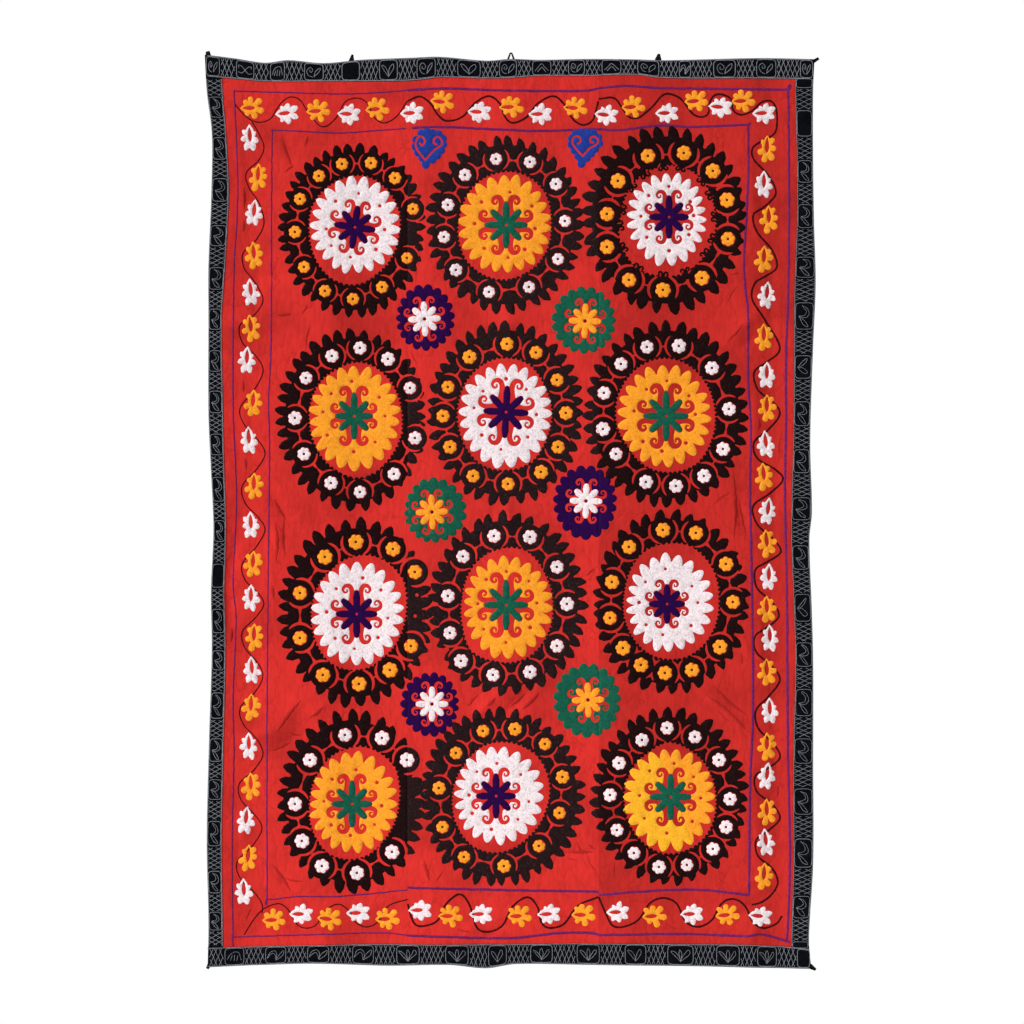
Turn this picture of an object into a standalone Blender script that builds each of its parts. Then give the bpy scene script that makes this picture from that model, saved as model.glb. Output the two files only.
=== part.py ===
"""Suzani wall hanging of three seamed widths of cloth, four border strips and seven tape loops.

Sizes and places are in millimetres and become metres as each mesh is made. The front faces -Y,
+Z is up, and the origin lies under the crown of the middle loop, where the hanging is held up.
"""

import bpy
from math import cos, exp, pi, radians, sin
from mathutils import Vector

MM = 0.001
NAME = "suzani_hanging"

# Driving sizes
CLOTH_THICK = 2.0     # ground cloth with its embroidery
STRIP_THICK = 1.5     # border strip, a folded woven band
TAPE_THICK = 1.2      # tape of the loops
LAP = 8.0             # how far a strip lies over the cloth's raw edge
GAP = 0.3             # clearance between pieces that touch
TAPE_GAP = 0.6        # clearance of a loop's sewn ends behind the strip
CELL = 38.0           # spacing of the points that carry the folds

# The two seams where the three widths of cloth meet
SEAMS = (-248.4, 210.0)

# Sides of the hanging, a row for each bend: height, x of the outer edge, x of the strip's inner edge
LEFT_SIDE = (
    (0, -735, -696),
    (-90, -730, -692),
    (-190, -718, -684),
    (-330, -719, -677),
    (-510, -726, -686),
    (-630, -726, -694),
    (-860, -726, -691),
    (-1000, -720, -688),
    (-1140, -714, -684),
    (-1290, -720, -688),
    (-1430, -718, -685),
    (-1660, -725, -690),
    (-1890, -730, -694),
    (-2080, -726, -692),
    (-2200, -728, -691),
)
RIGHT_SIDE = (
    (0, 729, 682),
    (-90, 725, 682),
    (-260, 725, 686),
    (-400, 727, 686),
    (-550, 731, 680),
    (-700, 725, 679),
    (-930, 718, 677),
    (-1100, 722, 672),
    (-1165, 716, 672),
    (-1340, 722, 679),
    (-1460, 725, 682),
    (-1700, 725, 677),
    (-1940, 725, 677),
    (-2125, 715, 673),
    (-2200, 721, 675),
)

# Top and bottom, a row for each bend: x, height of the outer edge, height of the strip's inner edge
TOP_SIDE = (
    (-740, -1, -54),
    (-660, -11, -60),
    (-590, -21, -66),
    (-535, -15, -67),
    (-450, -22, -66),
    (-360, -14, -66),
    (-235, -9, -64),
    (-170, -7, -57),
    (-60, -16, -59),
    (0, -12, -58),
    (65, -14, -53),
    (180, -12, -53),
    (300, -13, -50),
    (365, -15, -58),
    (600, -10, -59),
    (740, -13, -61),
)
BOTTOM_SIDE = (
    (-740, -2192, -2145),
    (-590, -2186, -2141),
    (-470, -2183, -2138),
    (-300, -2188, -2136),
    (-150, -2186, -2137),
    (-60, -2194, -2136),
    (10, -2184, -2136),
    (180, -2186, -2134),
    (420, -2189, -2136),
    (600, -2193, -2138),
    (740, -2196, -2149),
)

# Soft hanging folds, a row each: x at the top, x at the hem, half width, rise at the top, at the hem
FOLDS = (
    (-715, -720, 80, 2.0, 4.0),
    (-600, -640, 75, -2.0, -4.0),
    (-480, -450, 95, 2.5, 4.0),
    (-330, -350, 100, -2.5, -4.5),
    (-170, -190, 100, 3.0, 5.0),
    (-5, -5, 70, 2.0, 2.5),
    (120, 150, 95, -2.5, -4.0),
    (290, 270, 95, 2.5, 5.0),
    (430, 450, 80, -3.0, -4.0),
    (560, 575, 60, 3.0, 4.0),
    (630, 650, 50, -3.0, -3.5),
    (705, 710, 75, 2.5, 4.0),
)

# Creases, a row each: x and height of both ends, half width, rise
CREASES = (
    (-640, -533, -520, -533, 34, -3.0),
    (-690, -655, -515, -625, 38, 3.5),
    (-585, -1034, -535, -1125, 36, -4.0),
    (-550, -1110, -548, -1230, 34, 3.5),
    (-662, -1150, -678, -1260, 36, -3.5),
    (-678, -1260, -672, -1420, 36, -3.5),
    (-660, -1650, -555, -1625, 36, 4.0),
    (-560, -1630, -500, -1545, 36, 4.0),
    (-590, -1682, -490, -1622, 34, -3.5),
    (-490, -1600, -420, -1545, 34, 3.0),
    (-125, -1620, 0, -1520, 36, 3.5),
    (-60, -1640, 120, -1455, 36, -3.5),
    (445, -1520, 585, -1645, 38, 4.0),
    (540, -1060, 565, -1165, 36, -4.0),
    (500, -705, 600, -615, 36, 4.0),
    (-5, -600, -5, -710, 36, 3.0),
    (-5, -1060, -5, -1175, 36, 3.0),
    (-140, -2070, -20, -2140, 36, 4.0),
    (480, -1950, 640, -2060, 40, -4.0),
    (560, -2080, 600, -2150, 36, 4.0),
)
EDGE_CALM = 0.5       # share of the folds left along the top edge, which the loops draw straight
CALM_REACH = 150.0    # how far below the top edge the folds take to open

# The middle loop stands open: half spread of its legs, crown and tail
LOOP_CROWN = 2.7
LOOP_LEG_X = 7.2
LOOP_LEG_Z = -13.5
LOOP_TAIL_Z = -27.0
LOOP_CROWN_HALF = 1.9
LOOP_LEG_HALF = 2.5
CROWN_STEPS = 8

# The other loops are tapes folded front to back, a row each: name, x and height where it leaves
# the strip, lean from upright, reach, width there, width at the tip
FOLDED_LOOPS = (
    ("loop_top_left", -382.6, -15.6, 8, 14.4, 13.0, 4.5),
    ("loop_top_right", 353.5, -12.4, 8, 12.8, 15.5, 5.5),
    ("loop_corner_top_left", -726.0, -5.5, -10, 12.0, 13.0, 9.5),
    ("loop_corner_top_right", 725.5, -18.0, 59, 15.0, 8.5, 6.5),
    ("loop_corner_bottom_left", -722.5, -2183.0, -152, 13.5, 10.5, 7.0),
    ("loop_corner_bottom_right", 718.0, -2189.5, 121, 15.5, 13.0, 6.0),
)

# Side view of a folded loop, a row for each bend: place along it as a share of its reach, set back
FOLDED_SIDE = (
    (0.0, 0.0),
    (0.40, 0.0),
    (0.78, 0.1),
    (0.95, 1.4),
    (1.0, 3.6),
    (0.95, 5.8),
    (0.78, 7.3),
    (0.40, 7.6),
    (0.18, 6.4),
    (0.0, 2.8),
)
FOLDED_TAIL = 12.0    # length of each end that is sewn behind the strip
TAIL_APART = 1.9      # how far the two sewn ends lie apart, middle to middle

# Colours, a row each: red, green, blue, roughness
RED_CLOTH = (0.74, 0.030, 0.023, 0.62)
DARK_STRIP = (0.010, 0.013, 0.020, 0.80)
BLACK_TAPE = (0.008, 0.008, 0.009, 0.75)


def smooth(rows, place, column):
    """Read one column of a table at a place, on a curve that is smooth through its rows."""
    falling = rows[0][0] > rows[-1][0]
    ordered = rows[::-1] if falling else rows
    place = min(max(place, ordered[0][0]), ordered[-1][0])
    index = 0
    while index < len(ordered) - 2 and place > ordered[index + 1][0]:
        index += 1
    before = ordered[max(index - 1, 0)]
    start = ordered[index]
    end = ordered[index + 1]
    after = ordered[min(index + 2, len(ordered) - 1)]
    span = end[0] - start[0]
    t = (place - start[0]) / span
    slope_in = (end[column] - before[column]) / (end[0] - before[0]) * span
    slope_out = (after[column] - start[column]) / (after[0] - start[0]) * span
    low = start[column]
    high = end[column]
    bend = 3 * (high - low) - 2 * slope_in - slope_out
    twist = slope_in + slope_out - 2 * (high - low)
    return low + t * (slope_in + t * (bend + t * twist))


def ridge(distance, half_width):
    """A soft ridge that is 1 on its line and 0 at its half width."""
    if abs(distance) >= half_width:
        return 0.0
    return 0.5 + 0.5 * cos(pi * distance / half_width)


def crease_rise(x, z, row):
    """Rise of one crease at a place, fading out at both ends."""
    x0, z0, x1, z1, half_width, rise = row
    run = Vector((x1 - x0, z1 - z0))
    along = (Vector((x - x0, z - z0)).dot(run)) / run.length_squared
    across = ((x - x0) * run.y - (z - z0) * run.x) / run.length
    return rise * ridge(across, half_width) * ridge(along - 0.5, 0.75)


def drape(x, z):
    """How far the middle of the cloth stands back from the plane of the origin."""
    share = min(max(z / (0.5 * (BOTTOM_SIDE[0][1] + BOTTOM_SIDE[-1][1])), 0.0), 1.0)
    rise = 0.0
    for x_top, x_hem, half_width, at_top, at_hem in FOLDS:
        middle = x_top + (x_hem - x_top) * share
        rise += (at_top + (at_hem - at_top) * share) * ridge(x - middle, half_width)
    for row in CREASES:
        rise += crease_rise(x, z, row)
    opened = 1.0 - (1.0 - EDGE_CALM) * exp(-(z / CALM_REACH) ** 2)
    return -rise * opened


def spaced(start, end):
    """Evenly spaced places from start to end, about a cell apart."""
    count = max(1, round(abs(end - start) / CELL))
    return [start + (end - start) * step / count for step in range(count + 1)]


def side_line(rows, column, shift=0.0):
    """A line of the outline as a function of the other coordinate."""
    return lambda place: smooth(rows, place, column) + shift


def strip_lines(rows, lap):
    """The grid lines along a border strip, from its outer edge to its inner one."""
    outer = side_line(rows, 1)
    raw = side_line(rows, 2, lap)
    return [outer, lambda place: 0.5 * (outer(place) + raw(place)), raw, side_line(rows, 2)]


def fixed_line(value):
    """A straight line of the grid."""
    return lambda place: value


def crossing(column, row):
    """Where an upright line and a level line of the grid cross."""
    x = column(-1100.0)
    z = row(0.0)
    for _ in range(6):
        x = column(z)
        z = row(x)
    return x, z


def sheet(name, columns, rows, thickness, forward, material):
    """A sheet on the folds between grid lines, thickened about its middle."""
    points = []
    for row in rows:
        for column in columns:
            x, z = crossing(column, row)
            points.append(Vector((x, drape(x, z) - forward, z)) * MM)
    wide = len(columns)
    faces = []
    for down in range(len(rows) - 1):
        for along in range(wide - 1):
            corner = down * wide + along
            faces.append((corner, corner + wide, corner + wide + 1, corner + 1))
    return thickened(name, points, faces, thickness, material)


def thickened(name, points, faces, thickness, material):
    """An open surface made solid."""
    mesh = bpy.data.meshes.new(name)
    mesh.from_pydata([tuple(point) for point in points], [], faces)
    mesh.update()
    mesh.materials.append(material)
    piece = bpy.data.objects.new(name, mesh)
    parts.objects.link(piece)
    solidify = piece.modifiers.new("thickness", "SOLIDIFY")
    solidify.thickness = thickness * MM
    solidify.offset = 0.0
    return piece


def tape(name, stations, material):
    """A tape along its stations, each the middle of the tape and half its width as a vector."""
    points = []
    for middle, half in stations:
        points.append((middle - half) * MM)
        points.append((middle + half) * MM)
    faces = []
    for step in range(len(stations) - 1):
        corner = 2 * step
        faces.append((corner, corner + 1, corner + 3, corner + 2))
    return thickened(name, points, faces, TAPE_THICK, material)


def behind_strip(x, z):
    """Place of a tape's middle where it is sewn behind a border strip."""
    strip_back = drape(x, z) - STRIP_FORWARD + STRIP_THICK / 2
    return strip_back + TAPE_GAP + TAPE_THICK / 2


def middle_loop(material):
    """The loop that stands open, with its origin under the crown."""
    crown_z = -(LOOP_CROWN - LOOP_CROWN_HALF)
    rise = [(LOOP_LEG_X, LOOP_TAIL_Z), (LOOP_LEG_X, 0.5 * (LOOP_TAIL_Z + LOOP_LEG_Z))]
    rise.append((LOOP_LEG_X, LOOP_LEG_Z))
    crown = []
    for step in range(CROWN_STEPS + 1):
        turn = pi * step / CROWN_STEPS
        crown.append((LOOP_CROWN * cos(turn), crown_z + LOOP_CROWN * sin(turn)))
    fall = [(-x, z) for x, z in reversed(rise)]
    path = [Vector((x, 0.0, z)) for x, z in rise + crown + fall]
    stations = []
    for index, point in enumerate(path):
        before = path[max(index - 1, 0)]
        after = path[min(index + 1, len(path) - 1)]
        run = (after - before).normalized()
        at_crown = len(rise) <= index < len(rise) + len(crown)
        half = LOOP_CROWN_HALF if at_crown else LOOP_LEG_HALF
        point.y = behind_strip(point.x, point.z)
        stations.append((point, Vector((run.z, 0.0, -run.x)) * half))
    return tape("loop_top_middle", stations, material)


def folded_loop(row, material):
    """A loop whose tape is folded front to back, so that it opens sideways."""
    name, x, z, lean, reach, root_width, tip_width = row
    out = Vector((sin(radians(lean)), 0.0, cos(radians(lean))))
    level = Vector((out.z, 0.0, -out.x))
    side = [(-FOLDED_TAIL, 0.0), (-FOLDED_TAIL / 2, 0.0)]
    side += [(share * reach, back) for share, back in FOLDED_SIDE]
    side += [(-FOLDED_TAIL / 2, TAIL_APART), (-FOLDED_TAIL, TAIL_APART)]
    stations = []
    for along, back in side:
        middle = Vector((x, 0.0, z)) + out * along
        share = min(max(along / reach, 0.0), 1.0)
        half = 0.5 * (root_width + (tip_width - root_width) * share)
        middle.y = behind_strip(middle.x, middle.z) + back
        stations.append((middle, level * half))
    return tape(name, stations, material)


def finish(name, colour):
    """A plain material from one row of colour and roughness."""
    red, green, blue, roughness = colour
    material = bpy.data.materials.new(name)
    material.use_nodes = True
    shader = material.node_tree.nodes["Principled BSDF"]
    shader.inputs["Base Color"].default_value = (red, green, blue, 1.0)
    shader.inputs["Roughness"].default_value = roughness
    shader.inputs["Metallic"].default_value = 0.0
    return material


for old in list(bpy.data.objects):
    bpy.data.objects.remove(old, do_unlink=True)

parts = bpy.data.collections.new(NAME)
bpy.context.scene.collection.children.link(parts)

STRIP_FORWARD = CLOTH_THICK / 2 + GAP + STRIP_THICK / 2

# Lines of the grid, out to in: outer edge, middle, the cloth's raw edge under the strip, inner edge
left_lines = strip_lines(LEFT_SIDE, -LAP)
right_lines = strip_lines(RIGHT_SIDE, LAP)[::-1]
top_lines = strip_lines(TOP_SIDE, LAP)
bottom_lines = strip_lines(BOTTOM_SIDE, -LAP)[::-1]

# Inner lines of each width of cloth, and the level lines that all pieces share
FIRST_X = -655.0
LAST_X = 645.0
FIRST_Z = -95.0
LAST_Z = -2105.0
half_gap = GAP / 2
left_x = spaced(FIRST_X, SEAMS[0] - half_gap)
middle_x = spaced(SEAMS[0] + half_gap, SEAMS[1] - half_gap)
right_x = spaced(SEAMS[1] + half_gap, LAST_X)
level_z = [fixed_line(z) for z in spaced(FIRST_Z, LAST_Z)]

cloth_rows = top_lines[2:] + level_z + bottom_lines[:2]
red = finish("red_cloth", RED_CLOTH)
left_columns = left_lines[2:] + [fixed_line(x) for x in left_x]
middle_columns = [fixed_line(x) for x in middle_x]
right_columns = [fixed_line(x) for x in right_x] + right_lines[:2]
sheet("panel_left", left_columns, cloth_rows, CLOTH_THICK, 0.0, red)
sheet("panel_middle", middle_columns, cloth_rows, CLOTH_THICK, 0.0, red)
sheet("panel_right", right_columns, cloth_rows, CLOTH_THICK, 0.0, red)

dark = finish("dark_strip", DARK_STRIP)
strip_x = left_x[:-1] + middle_x[:-1] + right_x
strip_columns = left_lines + [fixed_line(x) for x in strip_x] + right_lines
sheet("strip_top", strip_columns, top_lines, STRIP_THICK, STRIP_FORWARD, dark)
sheet("strip_bottom", strip_columns, bottom_lines, STRIP_THICK, STRIP_FORWARD, dark)
butt_rows = [side_line(TOP_SIDE, 2, -GAP)] + level_z + [side_line(BOTTOM_SIDE, 2, GAP)]
sheet("strip_left", left_lines, butt_rows, STRIP_THICK, STRIP_FORWARD, dark)
sheet("strip_right", right_lines, butt_rows, STRIP_THICK, STRIP_FORWARD, dark)

black = finish("black_tape", BLACK_TAPE)
middle_loop(black)
for loop_row in FOLDED_LOOPS:
    folded_loop(loop_row, black)
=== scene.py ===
"""Looks of the suzani wall hanging: cloth on its folds, embroidery in low relief, border strips and loops.

Lengths are in millimetres and become metres as each mesh is made. Places on the cloth are given by
the photograph's pixels, which at() turns into millimetres. The front faces -Y and +Z is up.
"""

import bpy
import numpy as np
from math import atan2, cos, hypot, pi, radians, sin
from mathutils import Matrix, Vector
from mathutils.geometry import delaunay_2d_cdt


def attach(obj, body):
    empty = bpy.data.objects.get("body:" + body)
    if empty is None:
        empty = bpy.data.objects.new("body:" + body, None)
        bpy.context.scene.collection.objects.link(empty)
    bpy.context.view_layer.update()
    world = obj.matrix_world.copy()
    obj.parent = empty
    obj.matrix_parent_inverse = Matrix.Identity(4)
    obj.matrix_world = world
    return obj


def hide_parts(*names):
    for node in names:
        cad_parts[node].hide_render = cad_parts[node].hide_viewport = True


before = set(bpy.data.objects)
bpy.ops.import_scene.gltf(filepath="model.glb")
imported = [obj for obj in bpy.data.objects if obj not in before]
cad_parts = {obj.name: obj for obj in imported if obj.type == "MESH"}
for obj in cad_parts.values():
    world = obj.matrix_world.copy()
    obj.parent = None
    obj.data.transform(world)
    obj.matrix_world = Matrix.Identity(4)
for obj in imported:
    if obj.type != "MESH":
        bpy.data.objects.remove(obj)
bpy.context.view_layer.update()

MM = 0.001
PIXEL = 2.4           # millimetres of cloth to a pixel of the photograph
PIXEL_X0 = 511.0      # the photograph's column at x = 0
PIXEL_Z0 = 54.0       # the photograph's row at height 0
BODY = "root"

# Sizes shared with the solids
SEAMS = (-248.4, 210.0)
LAP = 8.0
LEFT_SIDE = (
    (0, -735, -696), (-90, -730, -692), (-190, -718, -684), (-330, -719, -677), (-510, -726, -686),
    (-630, -726, -694), (-860, -726, -691), (-1000, -720, -688), (-1140, -714, -684), (-1290, -720, -688),
    (-1430, -718, -685), (-1660, -725, -690), (-1890, -730, -694), (-2080, -726, -692), (-2200, -728, -691),
)
RIGHT_SIDE = (
    (0, 729, 682), (-90, 725, 682), (-260, 725, 686), (-400, 727, 686), (-550, 731, 680), (-700, 725, 679),
    (-930, 718, 677), (-1100, 722, 672), (-1165, 716, 672), (-1340, 722, 679), (-1460, 725, 682),
    (-1700, 725, 677), (-1940, 725, 677), (-2125, 715, 673), (-2200, 721, 675),
)
TOP_SIDE = (
    (-740, -1, -54), (-660, -11, -60), (-590, -21, -66), (-535, -15, -67), (-450, -22, -66),
    (-360, -14, -66), (-235, -9, -64), (-170, -7, -57), (-60, -16, -59), (0, -12, -58), (65, -14, -53),
    (180, -12, -53), (300, -13, -50), (365, -15, -58), (600, -10, -59), (740, -13, -61),
)
BOTTOM_SIDE = (
    (-740, -2192, -2145), (-590, -2186, -2141), (-470, -2183, -2138), (-300, -2188, -2136),
    (-150, -2186, -2137), (-60, -2194, -2136), (10, -2184, -2136), (180, -2186, -2134), (420, -2189, -2136),
    (600, -2193, -2138), (740, -2196, -2149),
)

# Soft hanging folds, a row each: x at the top, x at the hem, half width, rise at the top, at the hem
FOLDS = (
    (-715, -720, 80, 2.0, 4.0), (-600, -640, 75, -2.0, -4.0), (-480, -450, 95, 2.5, 4.0),
    (-330, -350, 100, -2.5, -4.5), (-170, -190, 100, 3.0, 5.0), (-5, -5, 70, 2.0, 2.5),
    (120, 150, 95, -2.5, -4.0), (290, 270, 95, 2.5, 5.0), (430, 450, 80, -3.0, -4.0),
    (560, 575, 60, 3.0, 4.0), (630, 650, 50, -3.0, -3.5), (705, 710, 75, 2.5, 4.0),
)

# Creases, a row each: x and height of both ends, half width, rise
CREASES = (
    (-640, -533, -520, -533, 34, -3.0), (-690, -655, -515, -625, 38, 3.5),
    (-585, -1034, -535, -1125, 36, -4.0), (-550, -1110, -548, -1230, 34, 3.5),
    (-662, -1150, -678, -1260, 36, -3.5), (-678, -1260, -672, -1420, 36, -3.5),
    (-660, -1650, -555, -1625, 36, 4.0), (-560, -1630, -500, -1545, 36, 4.0),
    (-590, -1682, -490, -1622, 34, -3.5), (-490, -1600, -420, -1545, 34, 3.0),
    (-125, -1620, 0, -1520, 36, 3.5), (-60, -1640, 120, -1455, 36, -3.5), (445, -1520, 585, -1645, 38, 4.0),
    (540, -1060, 565, -1165, 36, -4.0), (500, -705, 600, -615, 36, 4.0), (-5, -600, -5, -710, 36, 3.0),
    (-5, -1060, -5, -1175, 36, 3.0), (-140, -2070, -20, -2140, 36, 4.0), (480, -1950, 640, -2060, 40, -4.0),
    (560, -2080, 600, -2150, 36, 4.0),
)
EDGE_CALM = 0.5
CALM_REACH = 150.0

# Fine wrinkles that only the cloth here carries, a row each: photograph's px of both ends, half
# width in millimetres, rise in millimetres
WRINKLES = (
    (256, 276, 292, 276, 7, -1.3), (226, 327, 262, 322, 7, 1.4), (258, 321, 292, 314, 6, -1.2),
    (268, 485, 286, 520, 7, -1.4), (275, 520, 276, 562, 6, 1.2), (284, 518, 285, 556, 6, -1.2),
    (236, 540, 229, 582, 7, -1.6), (229, 580, 231, 642, 7, -1.4), (240, 740, 280, 731, 7, 1.6),
    (277, 732, 301, 700, 7, 1.5), (268, 752, 305, 732, 6, -1.5), (310, 718, 333, 699, 6, 1.2),
    (465, 726, 505, 690, 7, 1.4), (492, 724, 535, 684, 6, -1.3), (520, 712, 561, 662, 7, 1.4),
    (700, 690, 752, 736, 7, 1.6), (712, 684, 748, 716, 6, -1.2), (738, 498, 746, 536, 6, -1.5),
    (733, 466, 734, 540, 6, 1.2), (727, 342, 759, 313, 7, 1.5), (736, 352, 764, 330, 6, -1.2),
    (509, 312, 509, 346, 6, 1.3), (508, 498, 508, 541, 6, 1.3), (462, 79, 470, 92, 6, -1.2),
    (486, 78, 480, 94, 6, 1.1), (508, 79, 512, 96, 6, -1.2), (534, 77, 528, 92, 6, 1.2),
    (556, 77, 562, 90, 6, -1.1), (455, 944, 480, 922, 7, 1.5), (474, 946, 502, 926, 6, -1.4),
    (745, 944, 762, 918, 7, 1.4), (714, 934, 780, 884, 7, -1.3), (724, 900, 772, 868, 6, 1.2),
    (566, 853, 594, 852, 6, -1.2), (750, 150, 756, 240, 7, 1.3), (770, 250, 773, 352, 7, -1.4),
    (757, 380, 753, 470, 7, 1.3), (776, 470, 772, 560, 7, -1.4), (758, 590, 762, 690, 7, 1.4),
    (774, 700, 777, 800, 7, -1.3), (756, 800, 760, 880, 7, 1.3), (240, 140, 243, 232, 7, 1.2),
    (258, 260, 255, 330, 7, -1.2), (243, 380, 246, 470, 7, 1.1), (260, 640, 257, 716, 7, -1.2),
    (242, 790, 246, 880, 7, 1.3), (280, 130, 296, 176, 7, -1.1), (300, 122, 340, 130, 6, 1.0),
    (420, 330, 436, 352, 6, 1.1), (592, 262, 600, 306, 6, -1.1), (424, 860, 436, 900, 7, 1.2),
    (588, 880, 604, 902, 6, -1.1), (270, 862, 292, 894, 7, -1.3), (268, 540, 274, 600, 6, 1.1),
    (735, 620, 742, 664, 6, -1.2), (745, 566, 738, 590, 6, 1.1),
)
WRINKLE_WIDER = 2.2   # to the half widths and rises in that table
WRINKLE_HIGHER = 2.4
PUCKER = 0.22         # rise of the small puckers all over
HEM_Z = -2194.0

GRID = 6.0            # spacing of the cloth's own points
CLOTH_THICK = 1.2
RELIEF = 1.1          # height of the embroidery over the cloth
SHOULDER = 1.1        # width of the rounded edge of a stitched shape
BACK_RELIEF = 0.9     # height of the reverse of the stitching
SHARP_ANGLE = 62.0    # degrees from which an edge between faces is drawn sharp
FAR = 999.0
WHITE = (1.0, 1.0, 1.0, 1.0)
BLACK = (0.0, 0.0, 0.0, 1.0)


def at(px, py):
    """A place of the photograph in millimetres on the cloth."""
    return (px - PIXEL_X0) * PIXEL, (PIXEL_Z0 - py) * PIXEL


def smooth(rows, place, column):
    """Read one column of a table at places, on a curve that is smooth through its rows."""
    ordered = np.array(sorted(rows), float)
    keys = ordered[:, 0]
    values = ordered[:, column]
    place = np.clip(np.asarray(place, float), keys[0], keys[-1])
    index = np.clip(np.searchsorted(keys, place, side="right") - 1, 0, len(keys) - 2)
    before = np.maximum(index - 1, 0)
    after = np.minimum(index + 2, len(keys) - 1)
    span = keys[index + 1] - keys[index]
    t = (place - keys[index]) / span
    slope_in = (values[index + 1] - values[before]) / (keys[index + 1] - keys[before]) * span
    slope_out = (values[after] - values[index]) / (keys[after] - keys[index]) * span
    low = values[index]
    high = values[index + 1]
    bend = 3 * (high - low) - 2 * slope_in - slope_out
    twist = slope_in + slope_out - 2 * (high - low)
    return low + t * (slope_in + t * (bend + t * twist))


def ridge(distance, half_width):
    """A soft ridge that is 1 on its line and 0 at its half width."""
    share = np.clip(np.abs(distance) / half_width, 0.0, 1.0)
    return 0.5 + 0.5 * np.cos(pi * share)


def crease_rise(x, z, row):
    """Rise of one crease, fading out at both ends."""
    x0, z0, x1, z1, half_width, rise = row
    length = hypot(x1 - x0, z1 - z0)
    along = ((x - x0) * (x1 - x0) + (z - z0) * (z1 - z0)) / length ** 2
    across = ((x - x0) * (z1 - z0) - (z - z0) * (x1 - x0)) / length
    return rise * ridge(across, half_width) * ridge(along - 0.5, 0.75)


def ripple(x, z, seed, pitch):
    """Smooth seeded noise between -1 and 1 on a lattice of the given pitch."""
    random = np.random.default_rng(seed)
    cells = random.uniform(-1, 1, (90, 90))
    u = (x + 800) / pitch
    v = (z + 2300) / pitch
    i = np.floor(u).astype(int) % 89
    j = np.floor(v).astype(int) % 89
    a = u - np.floor(u)
    b = v - np.floor(v)
    a = a * a * (3 - 2 * a)
    b = b * b * (3 - 2 * b)
    top = cells[j, i] * (1 - a) + cells[j, i + 1] * a
    bottom = cells[j + 1, i] * (1 - a) + cells[j + 1, i + 1] * a
    return top * (1 - b) + bottom * b


def folded(x, z):
    """Rise of the cloth's middle towards the viewer: the solids' folds with fine wrinkles on them."""
    share = np.clip(z / HEM_Z, 0.0, 1.0)
    rise = np.zeros_like(x)
    for x_top, x_hem, half_width, at_top, at_hem in FOLDS:
        middle = x_top + (x_hem - x_top) * share
        rise += (at_top + (at_hem - at_top) * share) * ridge(x - middle, half_width)
    for row in CREASES:
        rise += crease_rise(x, z, row)
    opened = 1.0 - (1.0 - EDGE_CALM) * np.exp(-(z / CALM_REACH) ** 2)
    rise *= opened
    for px0, py0, px1, py1, half_width, height in WRINKLES:
        size = (half_width * WRINKLE_WIDER, height * WRINKLE_HIGHER)
        rise += crease_rise(x, z, (*at(px0, py0), *at(px1, py1), *size))
    rise += PUCKER * (ripple(x, z, 3, 31.0) + 0.6 * ripple(x + 11, z, 4, 17.0))
    return rise


grid_x = np.arange(-756.0, 756.0 + GRID, GRID)
grid_z = np.arange(-2219.0, 21.0 + GRID, GRID)
grid_rise = folded(*np.meshgrid(grid_x, grid_z))


def sampled(field, column, row):
    """A field read between its grid's points, at places in grid steps."""
    column = np.clip(column, 0, field.shape[1] - 1.001)
    row = np.clip(row, 0, field.shape[0] - 1.001)
    i = column.astype(int)
    j = row.astype(int)
    a = column - i
    b = row - j
    low = field[j, i] * (1 - a) + field[j, i + 1] * a
    high = field[j + 1, i] * (1 - a) + field[j + 1, i + 1] * a
    return low * (1 - b) + high * b


def rise_at(x, z):
    """Rise of the cloth at places, read between the points of its grid."""
    column = (np.asarray(x, float) - grid_x[0]) / GRID
    return sampled(grid_rise, column, (np.asarray(z, float) - grid_z[0]) / GRID)


class Cloth:
    """Points and faces of one piece, gathered in millimetres."""

    def __init__(self):
        self.points = []
        self.faces = []
        self.count = 0

    def add(self, points, faces):
        """Add points, an array of x, y, z rows, and faces that count from the first of them."""
        self.points.append(np.asarray(points, float))
        if isinstance(faces, np.ndarray):
            self.faces += (faces + self.count).tolist()
        else:
            self.faces += [[corner + self.count for corner in face] for face in faces]
        self.count += len(points)

    def made(self, name, material, slot):
        """The piece as a mesh object that rides on the hanging."""
        mesh = bpy.data.meshes.new(name)
        points = np.concatenate(self.points) * MM
        mesh.from_pydata(points.tolist(), [], self.faces)
        mesh.validate()
        mesh.shade_smooth()
        mesh.set_sharp_from_angle(angle=radians(SHARP_ANGLE))
        mesh.materials.append(material)
        piece = bpy.data.objects.new(name, mesh)
        bpy.context.scene.collection.objects.link(piece)
        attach(piece, BODY)
        return piece


# Grid lines of the cloth and its strips, as the solids have them

def between(low, high, share):
    """The place a share of the way between two lines."""
    return low + (high - low) * share


def sheet_points(left, right, top, bottom, across, down):
    """Places on the cloth of a grid between four lines, each a function of the other coordinate."""
    u, v = np.meshgrid(np.asarray(across, float), np.asarray(down, float))
    x = np.zeros_like(u)
    z = np.full_like(v, -1100.0)
    for _ in range(6):
        x = between(left(z), right(z), u)
        z = between(top(x), bottom(x), v)
    return x, z


def grid_faces(rows, columns, first, flipped):
    """Quads of a grid of points, counted from a first one."""
    faces = []
    for row in range(rows - 1):
        for column in range(columns - 1):
            a = first + row * columns + column
            quad = (a, a + columns, a + columns + 1, a + 1)
            faces.append(quad[::-1] if flipped else quad)
    return faces


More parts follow.
